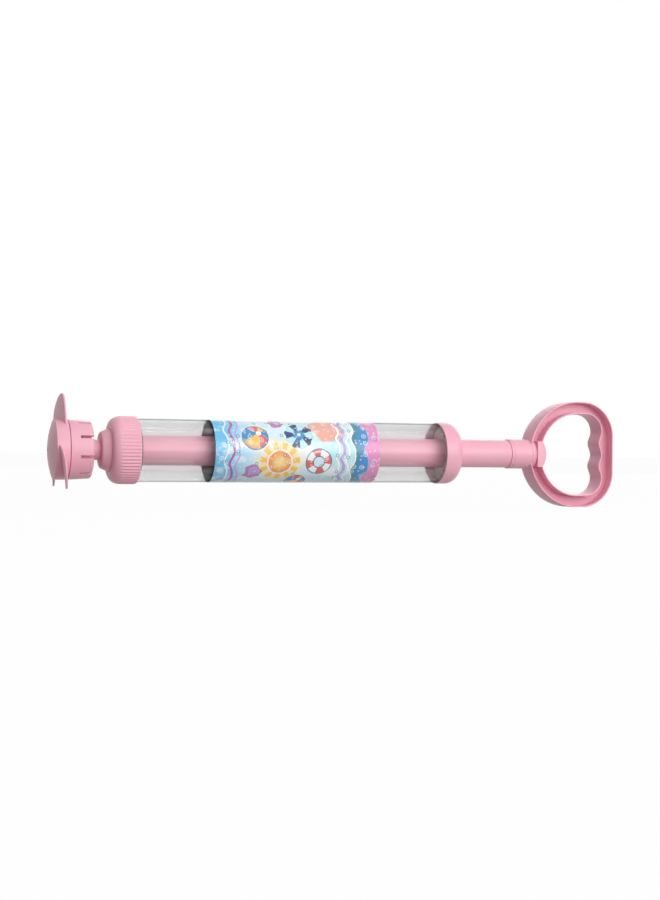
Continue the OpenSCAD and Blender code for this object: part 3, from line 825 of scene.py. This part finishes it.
    def shader(self, paint: Painter) -> None:
        """Adds print grain, scuffs, the lap seam at the back, and the glossy film."""
        where = paint.here()
        grain = paint.noise(where, 2400, 2, 0.7)
        scuffs = paint.step(paint.streaks(where, (1200, 130, 330), 2, 0.4), 0.66, 0.80)
        dots = paint.times(paint.sine(paint.times(paint.u, 9.0)), paint.sine(paint.times(paint.v, 9.0)))
        paint.over(paint.line(dots, 0.5, 0.5), self.white, 0.035)
        paint.over(paint.step(grain, 0.35, 0.8), self.haze, 0.06)
        paint.over(scuffs, self.white, 0.12)
        lap = paint.step(paint.minus(math.pi, paint.math("ABSOLUTE", paint.angle)), 0.016, 0.010)
        paint.over(lap, self.teal, 0.45)
        paint.finish(paint.principled({
            "Base Color": paint.colour, "IOR": 1.5,
            "Roughness": paint.total(0.24, (grain, 0.06), (scuffs, 0.15)),
            "Normal": paint.bump(0.08, 0.0002, paint.minus(paint.times(grain, 0.2), lap)),
        }))


@dataclass(frozen=True)
class Rubber:
    """Soft black rubber for the seals, with a faint bloom."""

    black: Colour = (0.012, 0.012, 0.013)
    bloom: Colour = (0.032, 0.032, 0.034)
    roughness: float = 0.42

    def material(self) -> Material:
        """Makes the material."""
        made = new_material("seal_rubber")
        graph = Graph(made.node_tree)
        where = graph.here()
        bloom = graph.step(graph.noise(where, 260, 3), 0.40, 0.75)
        graph.finish(graph.principled({
            "Base Color": graph.mix(bloom, self.black, self.bloom),
            "Roughness": graph.line(bloom, 0.18, self.roughness),
            "Normal": graph.bump(0.10, 0.0003, graph.noise(where, 3000, 2)),
        }))
        return made


@dataclass(frozen=True)
class Steel:
    """Plain stainless steel with fine turning marks and a faint stain."""

    bright: Colour = (0.60, 0.61, 0.63)
    stained: Colour = (0.50, 0.50, 0.51)
    roughness: float = 0.24

    def material(self) -> Material:
        """Makes the material."""
        made = new_material("steel")
        graph = Graph(made.node_tree)
        where = graph.here()
        marks = graph.streaks(where, (5200, 300, 300), 2, 0.6)
        stain = graph.step(graph.noise(where, 420, 3), 0.45, 0.80)
        graph.finish(graph.principled({
            "Base Color": graph.mix(stain, self.bright, self.stained), "Metallic": 1.0,
            "Roughness": graph.line(marks, 0.16, self.roughness),
            "Normal": graph.bump(0.08, 0.0002, marks),
        }))
        return made


@dataclass(frozen=True)
class Finishes:
    """The materials that the pieces share."""

    pink: Material
    deep_pink: Material
    web_pink: Material
    white: Material
    film_back: Material
    clear: Material
    film: Material
    rubber: Material
    steel: Material

    @classmethod
    def make(cls) -> "Finishes":
        """Makes each material once."""
        moulded = moulded_surface()
        return cls(
            pink=Plastic("pink_plastic", srgb(239, 174, 192)).material(moulded),
            deep_pink=Plastic("deep_pink_plastic", srgb(222, 120, 150)).material(moulded),
            # Deeper pink for the handle's web: painted shade for the recess of the channel.
            web_pink=Plastic("web_pink", srgb(219, 150, 168)).material(moulded),
            # A greyed white: painted shade for the rod guide, which sits in shade inside the cap; the thrust
            # washer takes it too.
            white=Plastic("white_plastic", srgb(216, 210, 208), wear=0.3).material(moulded),
            # Teal-grey for the film's inside: the print's own back, darkened as painted shade for the inside
            # of the barrel.
            film_back=Plastic("film_back", srgb(46, 80, 92)).material(moulded),
            clear=ClearTube().material(),
            film=FilmPrint(Span.of("printed_sleeve")).material(),
            rubber=Rubber().material(),
            steel=Steel().material(),
        )

    def dress_kept_nodes(self) -> None:
        """Gives each CAD node that keeps its shape its material."""
        kept = {
            self.white: ("rod_guide", "thrust_washer"),
            self.pink: ("screw_plug",),
            self.deep_pink: ("piston", "rod_end_plug"),
            self.rubber: ("nozzle_washer", "spigot_seal", "bumper_ring", "piston_rings"),
            self.steel: ("fan_spindle", "spindle_clip", "handle_screw"),
        }
        for material, nodes in kept.items():
            for node in nodes:
                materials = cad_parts[node].data.materials
                materials.clear()
                materials.append(material)


@dataclass
class Barrel:
    """The clear tube with its printed film and rear cap."""

    tube: Span
    film: Span
    cap: Span
    wall: float = 1.2
    film_thickness: float = 0.15
    cap_round: float = 7.2
    cap_end: float = 1.6
    cap_hole: float = 9.65
    cap_ledge: float = 1.0
    glue_gap: float = 0.05
    steps: int = 160

    def build(self, finishes: Finishes) -> None:
        """Builds the tube, the film, whose inside takes a dark colour as painted shade, and the cap."""
        tube = Bench.turn("barrel_tube_clear", pipe(self.tube, self.wall, 0.25, 0.35), self.steps)
        finish_piece(tube, finishes.clear)
        place(tube, "barrel", "barrel_tube", Slot.CLEAR)
        film = Bench.turn("printed_film", pipe(self.film, self.film_thickness), self.steps)
        finish_piece(film, finishes.film)
        inside = (self.film.radius - self.film_thickness / 4) * MM
        # The film's inside takes the painted-shade colour.
        second_finish(film, finishes.film_back, lambda face: (
            math.hypot(face.center.y, face.center.z) < inside and abs(face.normal.x) < 0.5))
        place(film, "barrel", "printed_sleeve", Slot.FILM)
        cap = Bench.turn("rear_cap_round", self.cap_outline(), self.steps)
        finish_piece(cap, finishes.pink)
        place(cap, "barrel", "rear_cap")

    def cap_outline(self) -> Outline:
        """Outline of the round-ended rear cap."""
        front, back, outer = self.cap.front, self.cap.back, self.cap.radius
        grip_r = self.tube.radius + self.glue_gap
        hollow_r = outer - self.cap_end
        ledge = self.tube.back + self.cap_ledge
        return rounded([
            (front, grip_r, 0.12), (front, outer, 0.4), (back, outer, self.cap_round),
            (back, self.cap_hole, 0.35), (back - self.cap_end, self.cap_hole, 0.2),
            (back - self.cap_end, hollow_r, self.cap_round - self.cap_end),
            (ledge, hollow_r), (ledge, grip_r),
        ], 8)


def pipe(span: Span, wall: float, inner_round: float = 0.0, outer_round: float = 0.0) -> Outline:
    """Outline of a pipe with a wall, whose ends are rounded inside and outside."""
    ends = [(span.radius - wall, inner_round), (span.radius, outer_round)]
    corners = [(span.front, *end) for end in ends] + [(span.back, *end) for end in reversed(ends)]
    return rounded(corners) if outer_round else [(x, r) for x, r, _ in corners]


@dataclass
class Nozzle:
    """The nozzle with its spigot, shoulder and trapped flange."""

    span: Span
    jet_r: float = 1.5
    jet_wall: float = 1.6
    bore_r: float = 3.4
    spigot_r: float = 6.25
    seal_place: float = 3.0
    seal_width: float = 1.7
    seal_depth: float = 1.55
    shoulder_x: float = 31.3
    shoulder_r: float = 11.0
    shoulder_round: float = 2.2
    throat_x: float = 36.7
    throat_r: float = 13.5
    throat_bore: float = 12.0
    flange: float = 2.0

    def build(self, finishes: Finishes) -> None:
        """Builds the nozzle."""
        tip, back, flange_r = self.span.front, self.span.back, self.span.radius
        groove = tip + self.seal_place - self.seal_width / 2
        groove_end = groove + self.seal_width
        groove_r = self.spigot_r - self.seal_depth
        outline = rounded([
            (tip, self.jet_r, 0.2), (tip, self.spigot_r, 0.7),
            (groove, self.spigot_r, 0.1), (groove, groove_r),
            (groove_end, groove_r), (groove_end, self.spigot_r, 0.1),
            (self.shoulder_x, self.spigot_r, 0.5), (self.shoulder_x, self.shoulder_r, self.shoulder_round),
            (self.throat_x, self.throat_r, 0.8), (back - self.flange, self.throat_r, 0.1),
            (back - self.flange, flange_r, 0.2), (back, flange_r, 0.2),
            (back, self.throat_bore), (back - self.flange, self.throat_bore, 0.3),
            (self.shoulder_x + self.shoulder_round, self.bore_r, 0.6),
            (tip + self.jet_wall, self.bore_r, 0.2), (tip + self.jet_wall, self.jet_r),
        ])
        piece = Bench.turn("nozzle_turned", outline)
        finish_piece(piece, finishes.pink)
        place(piece, "nozzle", "nozzle")


@dataclass
class Collar:
    """The ribbed screw collar."""

    span: Span
    hole_r: float = 13.58
    bore_r: float = 19.83
    ledge_x: float = 42.15
    shoulder: tuple[float, float] = (7.0, 5.2)
    rear_edge: tuple[float, float] = (2.0, 0.8)
    ribs: int = 60
    groove_start: float = 4.55
    groove_depth: float = 0.45
    groove_r: float = 0.75
    skin: float = 0.15
    steps_per_rib: int = 8
    smooth_angle: float = 30

    def build(self, finishes: Finishes) -> None:
        """Builds the collar."""
        front, back, outer = self.span.front, self.span.back, self.span.radius
        shoulder_centre = (front + self.shoulder[0], outer - self.shoulder[1])
        edge_centre = (back - self.rear_edge[0], outer - self.rear_edge[1])
        outline = rounded([
            (front, self.hole_r, 0.3), *oval(shoulder_centre, self.shoulder, -90, 0, 18),
            *oval(edge_centre, self.rear_edge, 0, 90, 6), (back, self.bore_r, 0.12),
            (self.ledge_x, self.bore_r), (self.ledge_x, self.hole_r),
        ], 7)
        piece = Bench.turn("screw_collar_ribbed", outline, self.ribs * self.steps_per_rib)
        self.press_grooves(piece)
        finish_piece(piece, finishes.pink, self.smooth_angle)
        place(piece, "collar", "front_collar")

    def press_grooves(self, piece: Piece) -> None:
        """Presses the round-bottomed grip grooves into the turned collar's outer skin."""
        middle = self.span.radius - self.groove_depth + self.groove_r
        pitch = TURN / self.ribs
        for vertex in piece.data.vertices:
            co = vertex.co
            radius = math.hypot(co.y, co.z) / MM
            if radius < self.bore_r + self.skin or co.x / MM < self.span.front + self.groove_start:
                continue
            angle = math.atan2(-co.y, co.z)
            off = (angle / pitch - round(angle / pitch)) * pitch * self.span.radius
            if abs(off) >= self.groove_r:
                continue
            floor = middle - math.sqrt(self.groove_r ** 2 - off ** 2)
            shrink = min(1.0, floor / radius)
            co.y *= shrink
            co.z *= shrink


@dataclass
class FanHead:
    """The slotted push-on seat of the fan."""

    span: Span
    spindle_r: float = 3.05
    back_r: float = 17.65
    rear_round: float = 1.4
    wall: float = 2.0
    guard_r: float = 14.0
    guard_wall: float = 1.2
    socket_r: float = 6.33
    socket_wall: float = 1.5
    setback: float = 1.0
    slots: int = 9
    slot_width: float = 2.0
    slot_depth: float = 8.3
    slot_phase: float = 24.0
    slot_round: float = 0.35

    def build(self, finishes: Finishes) -> None:
        """Builds the seat and cuts its slots."""
        front, back, outer = self.span.front, self.span.back, self.span.radius
        inside = front + self.wall
        end = back - self.setback
        socket_out = self.socket_r + self.socket_wall
        guard_in = self.guard_r - self.guard_wall
        outline = rounded([
            (front, self.spindle_r), (front, outer, 0.4), (back, self.back_r, self.rear_round),
            (back, self.back_r - self.wall, 0.2), (inside, outer - self.wall, 0.5),
            (inside, self.guard_r, 0.5), (end, self.guard_r, 0.25), (end, guard_in, 0.25),
            (inside, guard_in, 0.5), (inside, socket_out, 0.5), (end, socket_out, 0.25),
            (end, self.socket_r, 0.25), (inside, self.socket_r), (inside, self.spindle_r),
        ])
        piece = Bench.turn("fan_seat_slotted", outline, 144)
        Bench.combine(piece, Bench.join([self.slot_cutter(i) for i in range(self.slots)]), "DIFFERENCE")
        finish_piece(piece, finishes.pink)
        place(piece, "fan_head", "fan_seat")

    def slot_cutter(self, i: int) -> Piece:
        """Makes the soft-edged block that cuts one slot, counted from the top towards -Y."""
        half = self.slot_width / 2
        low = Vector((self.span.back - self.slot_depth, -half, (self.guard_r + self.back_r - self.wall) / 2))
        high = Vector((self.span.back + 1, half, self.span.radius + 6))
        cutter = Bench.bevel(Bench.block(f"slot_cutter_{i}", low, high), self.slot_round, 3)
        return Bench.swing(cutter, math.radians(self.slot_phase) + i * TURN / self.slots)


@dataclass
class Fan:
    """The three-bladed fan with its hub and domed cover."""

    hub: Span
    cover: Span
    hub_r: float = 18.45
    wall: float = 1.4
    web_setback: float = 1.3
    web: float = 1.4
    bore_r: float = 3.08
    boss_r: float = 5.5
    boss_back: float = 10.9
    dome_height: float = 3.3
    dome_wall: float = 1.3
    snap_r: float = 17.0
    snap_wall: float = 1.2
    outlet_r: float = 1.6
    outlet_depth: float = 2.1
    outlet_wall: float = 1.4
    outlet_lip: float = 0.3
    blades: int = 3
    blade_width: float = 22.5
    blade_root: float = 6.0
    blade_tip: float = 34.1
    blade_thickness: float = 1.2
    blade_round: float = 0.42
    blade_pitch: float = 11.0
    blade_tip_pitch: float = 4.0
    blade_lean: float = 5.5
    blade_sweep: float = 12.0
    blade_phase: float = -3.0
    blade_cuts: range = range(8, 34)
    core_lap: float = 12.0
    steps: int = 144

    def build(self, finishes: Finishes) -> None:
        """Builds the rotor and its cover."""
        rotor = Bench.turn("fan_rotor", self.hub_outline(), self.steps)
        for i in range(self.blades):
            angle = math.radians(self.blade_phase) + i * TURN / self.blades
            Bench.combine(rotor, Bench.swing(self.blade(), angle), "UNION")
        cover = Bench.turn("fan_cover_dome", self.cover_outline(), self.steps)
        for piece, node in ((rotor, "rotor"), (cover, "rotor_cover")):
            finish_piece(piece, finishes.pink)
            place(piece, "fan", node)

    def hub_outline(self) -> Outline:
        """Outline of the hub with its web and boss."""
        front, back = self.hub.front, self.hub.back
        web = front + self.web_setback
        web_back = web + self.web
        inner = self.hub_r - self.wall
        return rounded([
            (front, inner, 0.1), (front, self.hub_r, 0.3), (back, self.hub_r, 0.4), (back, inner, 0.3),
            (web_back, inner, 0.6), (web_back, self.boss_r, 0.6), (self.boss_back, self.boss_r, 0.3),
            (self.boss_back, self.bore_r), (web, self.bore_r), (web, inner, 0.1),
        ])

    def blade(self) -> Piece:
        """Makes one blade that points up, with soft edges and a twist, cut off inside the hub's wall."""
        half = self.blade_width / 2
        corner = half - self.blade_lean
        leading = [math.radians(3 * k) for k in range(31)]
        trailing = [math.radians(90 - 7.5 * k) for k in range(1, 13)]
        flat: Outline = [
            (half, self.blade_root), (-half, self.blade_root),
            *((self.blade_lean - (half + self.blade_lean) * math.cos(a),
               self.blade_tip - self.blade_sweep * (1 - math.sin(a))) for a in leading),
            *((self.blade_lean + corner * math.cos(a), self.blade_tip - corner * (1 - math.sin(a)))
              for a in trailing),
        ]
        middle = (self.hub.front + self.hub.back) / 2
        low = middle - self.blade_thickness / 2
        points = [Vector((low, -u, v)) * MM for u, v in flat]
        piece = Bench.slab("fan_blade", points, Vector((self.blade_thickness * MM, 0, 0)))
        Bench.bevel(piece, self.blade_round, 3, 50)
        self.twist(piece, middle)
        core_front, core_back = self.hub.front - self.core_lap, self.hub.back + self.core_lap
        core_r = self.hub_r - self.wall / 2
        core = Bench.turn("blade_core", [
            (core_front, 0.5), (core_front, core_r), (core_back, core_r), (core_back, 0.5)], self.steps)
        return Bench.combine(piece, core, "DIFFERENCE")

    def twist(self, piece: Piece, middle: float) -> None:
        """Cuts a flat blade across and turns it more at the hub than at the tip.

        Args:
            piece: the flat blade, which points up.
            middle: place along the axis of the line that it turns about, in millimetres.
        """
        Bench.take(piece)
        bpy.ops.object.mode_set(mode="EDIT")
        for height in self.blade_cuts:
            bpy.ops.mesh.select_all(action="SELECT")
            bpy.ops.mesh.bisect(plane_co=(0, 0, height * MM), plane_no=(0, 0, 1))
        bpy.ops.object.mode_set(mode="OBJECT")
        per_mm = (self.blade_pitch - self.blade_tip_pitch) / (self.blade_tip - self.hub_r)
        for vertex in piece.data.vertices:
            co = vertex.co
            pitch = math.radians(self.blade_pitch + per_mm * (self.hub_r - co.z / MM))
            across, along = co.y, co.x - middle * MM
            co.x = middle * MM + along * math.cos(pitch) - across * math.sin(pitch)
            co.y = across * math.cos(pitch) + along * math.sin(pitch)

    def cover_outline(self) -> Outline:
        """Outline of the domed cover with the outlet in its middle."""
        rim, steps = self.dome_height, 26
        sphere = (self.hub_r ** 2 + rim ** 2) / (2 * rim)

        def dome(radius: float, big: float) -> tuple[float, float]:
            """Point of a dome's face at a radius."""
            return sphere - math.sqrt(big ** 2 - radius ** 2), radius

        lip = self.outlet_lip
        snap_in, outlet_out = self.snap_r - self.snap_wall, self.outlet_r + self.outlet_wall
        lip_x, lip_r = dome(self.outlet_r + lip * 0.35, sphere)
        return [
            (self.outlet_depth, self.outlet_r), (lip + 0.05, self.outlet_r), (lip_x + 0.06, lip_r),
            *(dome(r, sphere) for r in spaced(self.outlet_r + lip, self.hub_r - 0.15, steps)),
            (rim, self.hub_r - 0.03), (rim, self.snap_r),
            (self.cover.back, self.snap_r), (self.cover.back, snap_in),
            *(dome(r, sphere - self.dome_wall) for r in spaced(snap_in, outlet_out, steps)),
            (self.outlet_depth, outlet_out),
        ]


@dataclass
class Handle:
    """The D-shaped pull handle with its stem, web, rims, finger waves and screw block."""

    span: Span
    stem_r: float = 10.0
    socket_r: float = 9.4
    socket_depth: float = 12.0
    stem: float = 14.6
    stem_lap: float = 4.0
    mould_line_depth: float = 0.22
    mould_line_reach: float = 0.2
    hoop_r: float = 36.48
    grip_reach: float = 28.1
    corner_r: float = 24.0
    band: float = 8.5
    grip_width: float = 9.4
    opening_corner_r: float = 12.0
    depth: float = 15.5
    rim: float = 0.9
    rim_round: float = 0.35
    web: float = 1.6
    wave_pitch: float = 15.8
    wave_height: float = 2.1
    wave_steps: int = 64
    block_gap: float = 1.7
    block_height: float = 17.8
    block_bulge: float = 4.0
    block_r: float = 14.7
    block_round: float = 0.5
    core_r: float = 5.0
    core_lap: float = 0.6
    screw_r: float = 1.8
    plug_r: float = 4.25
    plug_depth: float = 3.5

    @property
    def hoop_front(self) -> float:
        """Where the hoop starts along the axis."""
        return self.span.front + self.stem

    @property
    def stem_end(self) -> float:
        """Where the stem ends inside the hoop's band."""
        return self.hoop_front + self.stem_lap

    @property
    def block_tip(self) -> float:
        """The screw block's rearmost place along the axis."""
        return self.hoop_front + self.band + self.block_bulge

    def build(self, finishes: Finishes) -> None:
        """Builds the handle, with a slightly deeper pink on the two faces of its web as painted shade for
        the channel's recess.
        """
        rims = [
            self.ring("handle_outer_rim", self.outer(0), self.outer(self.rim), self.depth),
            self.ring("handle_inner_rim", self.opening(self.rim), self.opening(0), self.depth),
        ]
        web = self.ring("handle_web", self.outer(self.rim / 2), self.opening(self.rim / 2), self.web)
        for rim in rims:
            Bench.bevel(rim, self.rim_round, 3, 55)
        piece = self.stem_piece()
        for part in (*rims, web, self.block_piece()):
            Bench.combine(piece, part, "UNION")
        Bench.combine(piece, self.bore_cutter(), "DIFFERENCE")
        finish_piece(piece, finishes.pink)
        # Painted shade: the web's flat faces inside the channel take the deeper pink.
        second_finish(piece, finishes.web_pink, lambda face: (
            abs(face.normal.y) > 0.9 and abs(face.center.y) < self.web * MM))
        place(piece, "plunger", "handle")

    def hoop(self, radius: float, reach: float, corner: float, grown: float, grip: Outline,
             counts: tuple[int, int]) -> Outline:
        """Outline of the hoop or of its opening.

        Args:
            radius: radius of the round side.
            reach: distance from the round side's centre to the grip side.
            corner: radius of the two corners.
            grown: how much further out the outline is drawn.
            grip: the points of the grip side.
            counts: how many pieces a corner and the round side have.

        Returns:
            The outline's points, measured from the round side's centre.
        """
        x, z = reach - corner, radius - corner
        return [
            *grip,
            *arc((x, z), corner + grown, 0, 90, counts[0]),
            *arc((0, 0), radius + grown, 90, 270, counts[1]),
            *arc((x, -z), corner + grown, -90, 0, counts[0]),
        ]

    def outer(self, inset: float) -> Outline:
        """The hoop's outer outline, drawn inwards by an inset."""
        half = self.hoop_r - self.corner_r
        grip = [(self.grip_reach - inset, z) for z in spaced(-half, half, 12)[:-1]]
        return self.hoop(self.hoop_r, self.grip_reach, self.corner_r, -inset, grip, (30, 100))

    def opening(self, outset: float) -> Outline:
        """The opening's outline with its finger waves, drawn outwards by an outset."""
        reach = self.grip_reach - self.grip_width
        radius = self.hoop_r - self.band
        half = radius - self.opening_corner_r
        waves = [
            (reach + outset - self.wave_height * (1 - math.cos(TURN * z / self.wave_pitch)) / 2, z)
            for z in spaced(-half, half, self.wave_steps)[:-1]
        ]
        return self.hoop(radius, reach, self.opening_corner_r, outset, waves, (24, 96))

    def ring(self, name: str, outer: Outline, inner: Outline, depth: float) -> Piece:
        """Makes a flat ring between two outlines, as deep as asked along Y.

        Args:
            name: the piece's name.
            outer: the ring's outer outline.
            inner: the ring's inner outline.
            depth: its size along Y.

        Returns:
            The closed ring, in object mode.
        """
        centre = self.hoop_front + self.hoop_r
        loops = []
        for outline in (outer, inner):
            loops.append(Bench.draw(name, [Vector((centre + x, -depth / 2, z)) * MM for x, z in outline]))
            bpy.ops.object.mode_set(mode="OBJECT")
        piece = Bench.join(loops)
        piece.name = name
        bpy.ops.object.mode_set(mode="EDIT")
        bpy.ops.mesh.select_all(action="SELECT")
        if len(outer) == len(inner):
            bpy.ops.mesh.bridge_edge_loops()
        else:
            bpy.ops.mesh.fill()
        Bench.thicken(Vector((0, depth * MM, 0)))
        return piece

    def stem_piece(self) -> Piece:
        """Turns the stem with its mould lines, and the core that leads to the screw block."""
        front, end, stem_r = self.span.front, self.stem_end, self.stem_r
        core_end = end + self.block_gap + self.core_lap
        socket_end = front + self.socket_depth
        lines = []
        for middle in (front + 2.1, end - 3.0, end - 1.1):
            lines += [
                (middle - self.mould_line_reach, stem_r), (middle, stem_r - self.mould_line_depth),
                (middle + self.mould_line_reach, stem_r),
            ]
        return Bench.turn("pull_handle", rounded([
            (front, self.socket_r, 0.15), (front, stem_r, 0.45), *lines,
            (end, stem_r, 0.5), (end, self.core_r, 0.3), (core_end, self.core_r),
            (core_end, self.screw_r), (socket_end, self.screw_r), (socket_end, self.socket_r),
        ]))

    def block_piece(self) -> Piece:
        """Makes the flat-faced screw block with its bulging side towards the opening."""
        front = self.stem_end + self.block_gap
        half = self.block_height / 2
        swing = math.degrees(math.asin(half / self.block_r))
        side = arc((self.block_tip - self.block_r, 0), self.block_r, -swing, swing, 24)
        corner = (self.block_tip - self.block_r * (1 - math.cos(math.radians(swing))), half)
        flat = [(front, half), (front, -half), *side, corner]
        points = [Vector((x, -self.depth / 2, z)) * MM for x, z in flat]
        piece = Bench.slab("screw_block", points, Vector((0, self.depth * MM, 0)))
        return Bench.bevel(piece, self.block_round, 3)

    def bore_cutter(self) -> Piece:
        """Makes what clears the screw's hole, the plug's seat and the rod's socket after the joining."""
        start, end = self.span.front - 1, self.block_tip + 1
        socket_end, seat = self.span.front + self.socket_depth, self.block_tip - self.plug_depth
        return Bench.turn("screw_bore", [
            (start, 0.01), (start, self.socket_r), (socket_end, self.socket_r), (socket_end, self.screw_r),
            (seat, self.screw_r), (seat, self.plug_r), (end, self.plug_r), (end, 0.01),
        ], 96)


@dataclass
class Plunger:
    """The push rod."""

    rod: Span
    wall: float = 1.5

    def build(self, finishes: Finishes) -> None:
        """Builds the rod."""
        piece = Bench.turn("push_rod_tube", pipe(self.rod, self.wall, 0.2, 0.3))
        finish_piece(piece, finishes.pink)
        place(piece, "plunger", "push_rod")


@dataclass(frozen=True)
class Lamp:
    """A square studio lamp."""

    name: str
    place: Triple
    power: float
    size: float
    aim: Triple = (0.19, 0.0, 0.0)

    def add(self) -> None:
        """Adds the lamp, turned to its aim."""
        light = bpy.data.lights.new(self.name, "AREA")
        light.energy = self.power
        light.size = self.size
        lamp = bpy.data.objects.new(self.name, light)
        lamp.location = self.place
        lamp.visible_camera = False
        lamp.visible_transmission = False
        lamp.rotation_euler = (Vector(self.aim) - Vector(self.place)).to_track_quat("-Z", "Y").to_euler()
        bpy.context.scene.collection.objects.link(lamp)


@dataclass
class Studio:
    """Camera, floor, world and lamps."""

    eye: Triple = (-0.1142, -0.842, 0.0)
    yaw: float = 19.4
    roll: float = -0.56
    lens: float = 54.64
    shift_y: float = 0.0024
    floor_height: float = -0.0363
    floor_size: float = 30
    floor_grey: Colour = (0.45, 0.45, 0.45)
    floor_glow: float = 1.03
    floor_glow_share: float = 0.94
    fill: Colour = (1.0, 0.99, 0.985)
    fill_strength: float = 0.30
    lamps: list[Lamp] = field(default_factory=lambda: [
        Lamp("front_softbox", (0.72, -1.54, 0.34), 29.0, 1.5),
        Lamp("top_softbox", (0.15, -0.35, 1.60), 6.0, 1.6),
        Lamp("back_softbox", (0.85, 1.45, 0.25), 9.0, 1.5),
    ])

    def build(self) -> None:
        """Sets up the whole studio."""
        bpy.context.scene.view_settings.view_transform = "Standard"
        self.camera()
        self.floor()
        self.world()
        for lamp in self.lamps:
            lamp.add()

    def camera(self) -> None:
        """Adds the camera at the photograph's viewing angle."""
        data = bpy.data.cameras.new("photo_camera")
        data.lens = self.lens
        data.sensor_width = 36.0
        data.shift_y = self.shift_y
        data.clip_start = 0.01
        data.clip_end = 50.0
        camera = bpy.data.objects.new("photo_camera", data)
        camera.location = self.eye
        camera.rotation_mode = "XYZ"
        camera.rotation_euler = (math.radians(90), math.radians(self.roll), -math.radians(self.yaw))
        bpy.context.scene.collection.objects.link(camera)
        bpy.context.scene.camera = camera

    def floor(self) -> None:
        """Adds the pale floor, which is white where it is seen and still takes a shadow."""
        Bench.clear_selection()
        bpy.ops.mesh.primitive_plane_add(size=self.floor_size, location=(0, 0, self.floor_height))
        plane = bpy.context.object
        plane.name = "floor"
        Bench.apply_place()
        made = new_material("pale_floor")
        graph = Graph(made.node_tree)
        diffuse = graph.node("ShaderNodeBsdfDiffuse", {"Color": self.floor_grey})
        glow = graph.node("ShaderNodeEmission", {"Color": WHITE, "Strength": self.floor_glow})
        share = graph.times(self.direct_view(graph), self.floor_glow_share)
        graph.finish(graph.blend(share, diffuse, glow))
        plane.data.materials.append(made)

    def world(self) -> None:
        """Makes the world white where it is seen, reflected or looked at through the tube."""
        world = bpy.data.worlds.new("studio_world")
        bpy.context.scene.world = world
        world.use_nodes = True
        graph = Graph(world.node_tree)
        seen = graph.node("ShaderNodeBackground", {"Color": WHITE, "Strength": 1.0})
        lit = graph.node("ShaderNodeBackground", {"Color": self.fill, "Strength": self.fill_strength})
        graph.finish(graph.blend(self.direct_view(graph), lit, seen), "World")

    @staticmethod
    def direct_view(graph: Graph) -> Socket:
        """Is 1 for camera, glossy and transmission rays, and 0 for light that bounces."""
        path = graph.node("ShaderNodeLightPath").outputs
        seen = graph.math("MAXIMUM", path["Is Camera Ray"], path["Is Glossy Ray"])
        return graph.math("MAXIMUM", seen, path["Is Transmission Ray"])


def main() -> None:
    """Builds the studio and every piece."""
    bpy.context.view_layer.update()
    Studio().build()
    finishes = Finishes.make()
    assemblies = [
        Barrel(Span.of("barrel_tube"), Span.of("printed_sleeve"), Span.of("rear_cap")),
        Nozzle(Span.of("nozzle")),
        Collar(Span.of("front_collar")),
        FanHead(Span.of("fan_seat")),
        Fan(Span.of("rotor"), Span.of("rotor_cover")),
        Plunger(Span.of("push_rod")),
        Handle(Span.of("handle")),
    ]
    for assembly in assemblies:
        log.info("building %s", type(assembly).__name__)
        assembly.build(finishes)
    finishes.dress_kept_nodes()
    Bench.clear_selection()


if __name__ == "__main__":
    main()
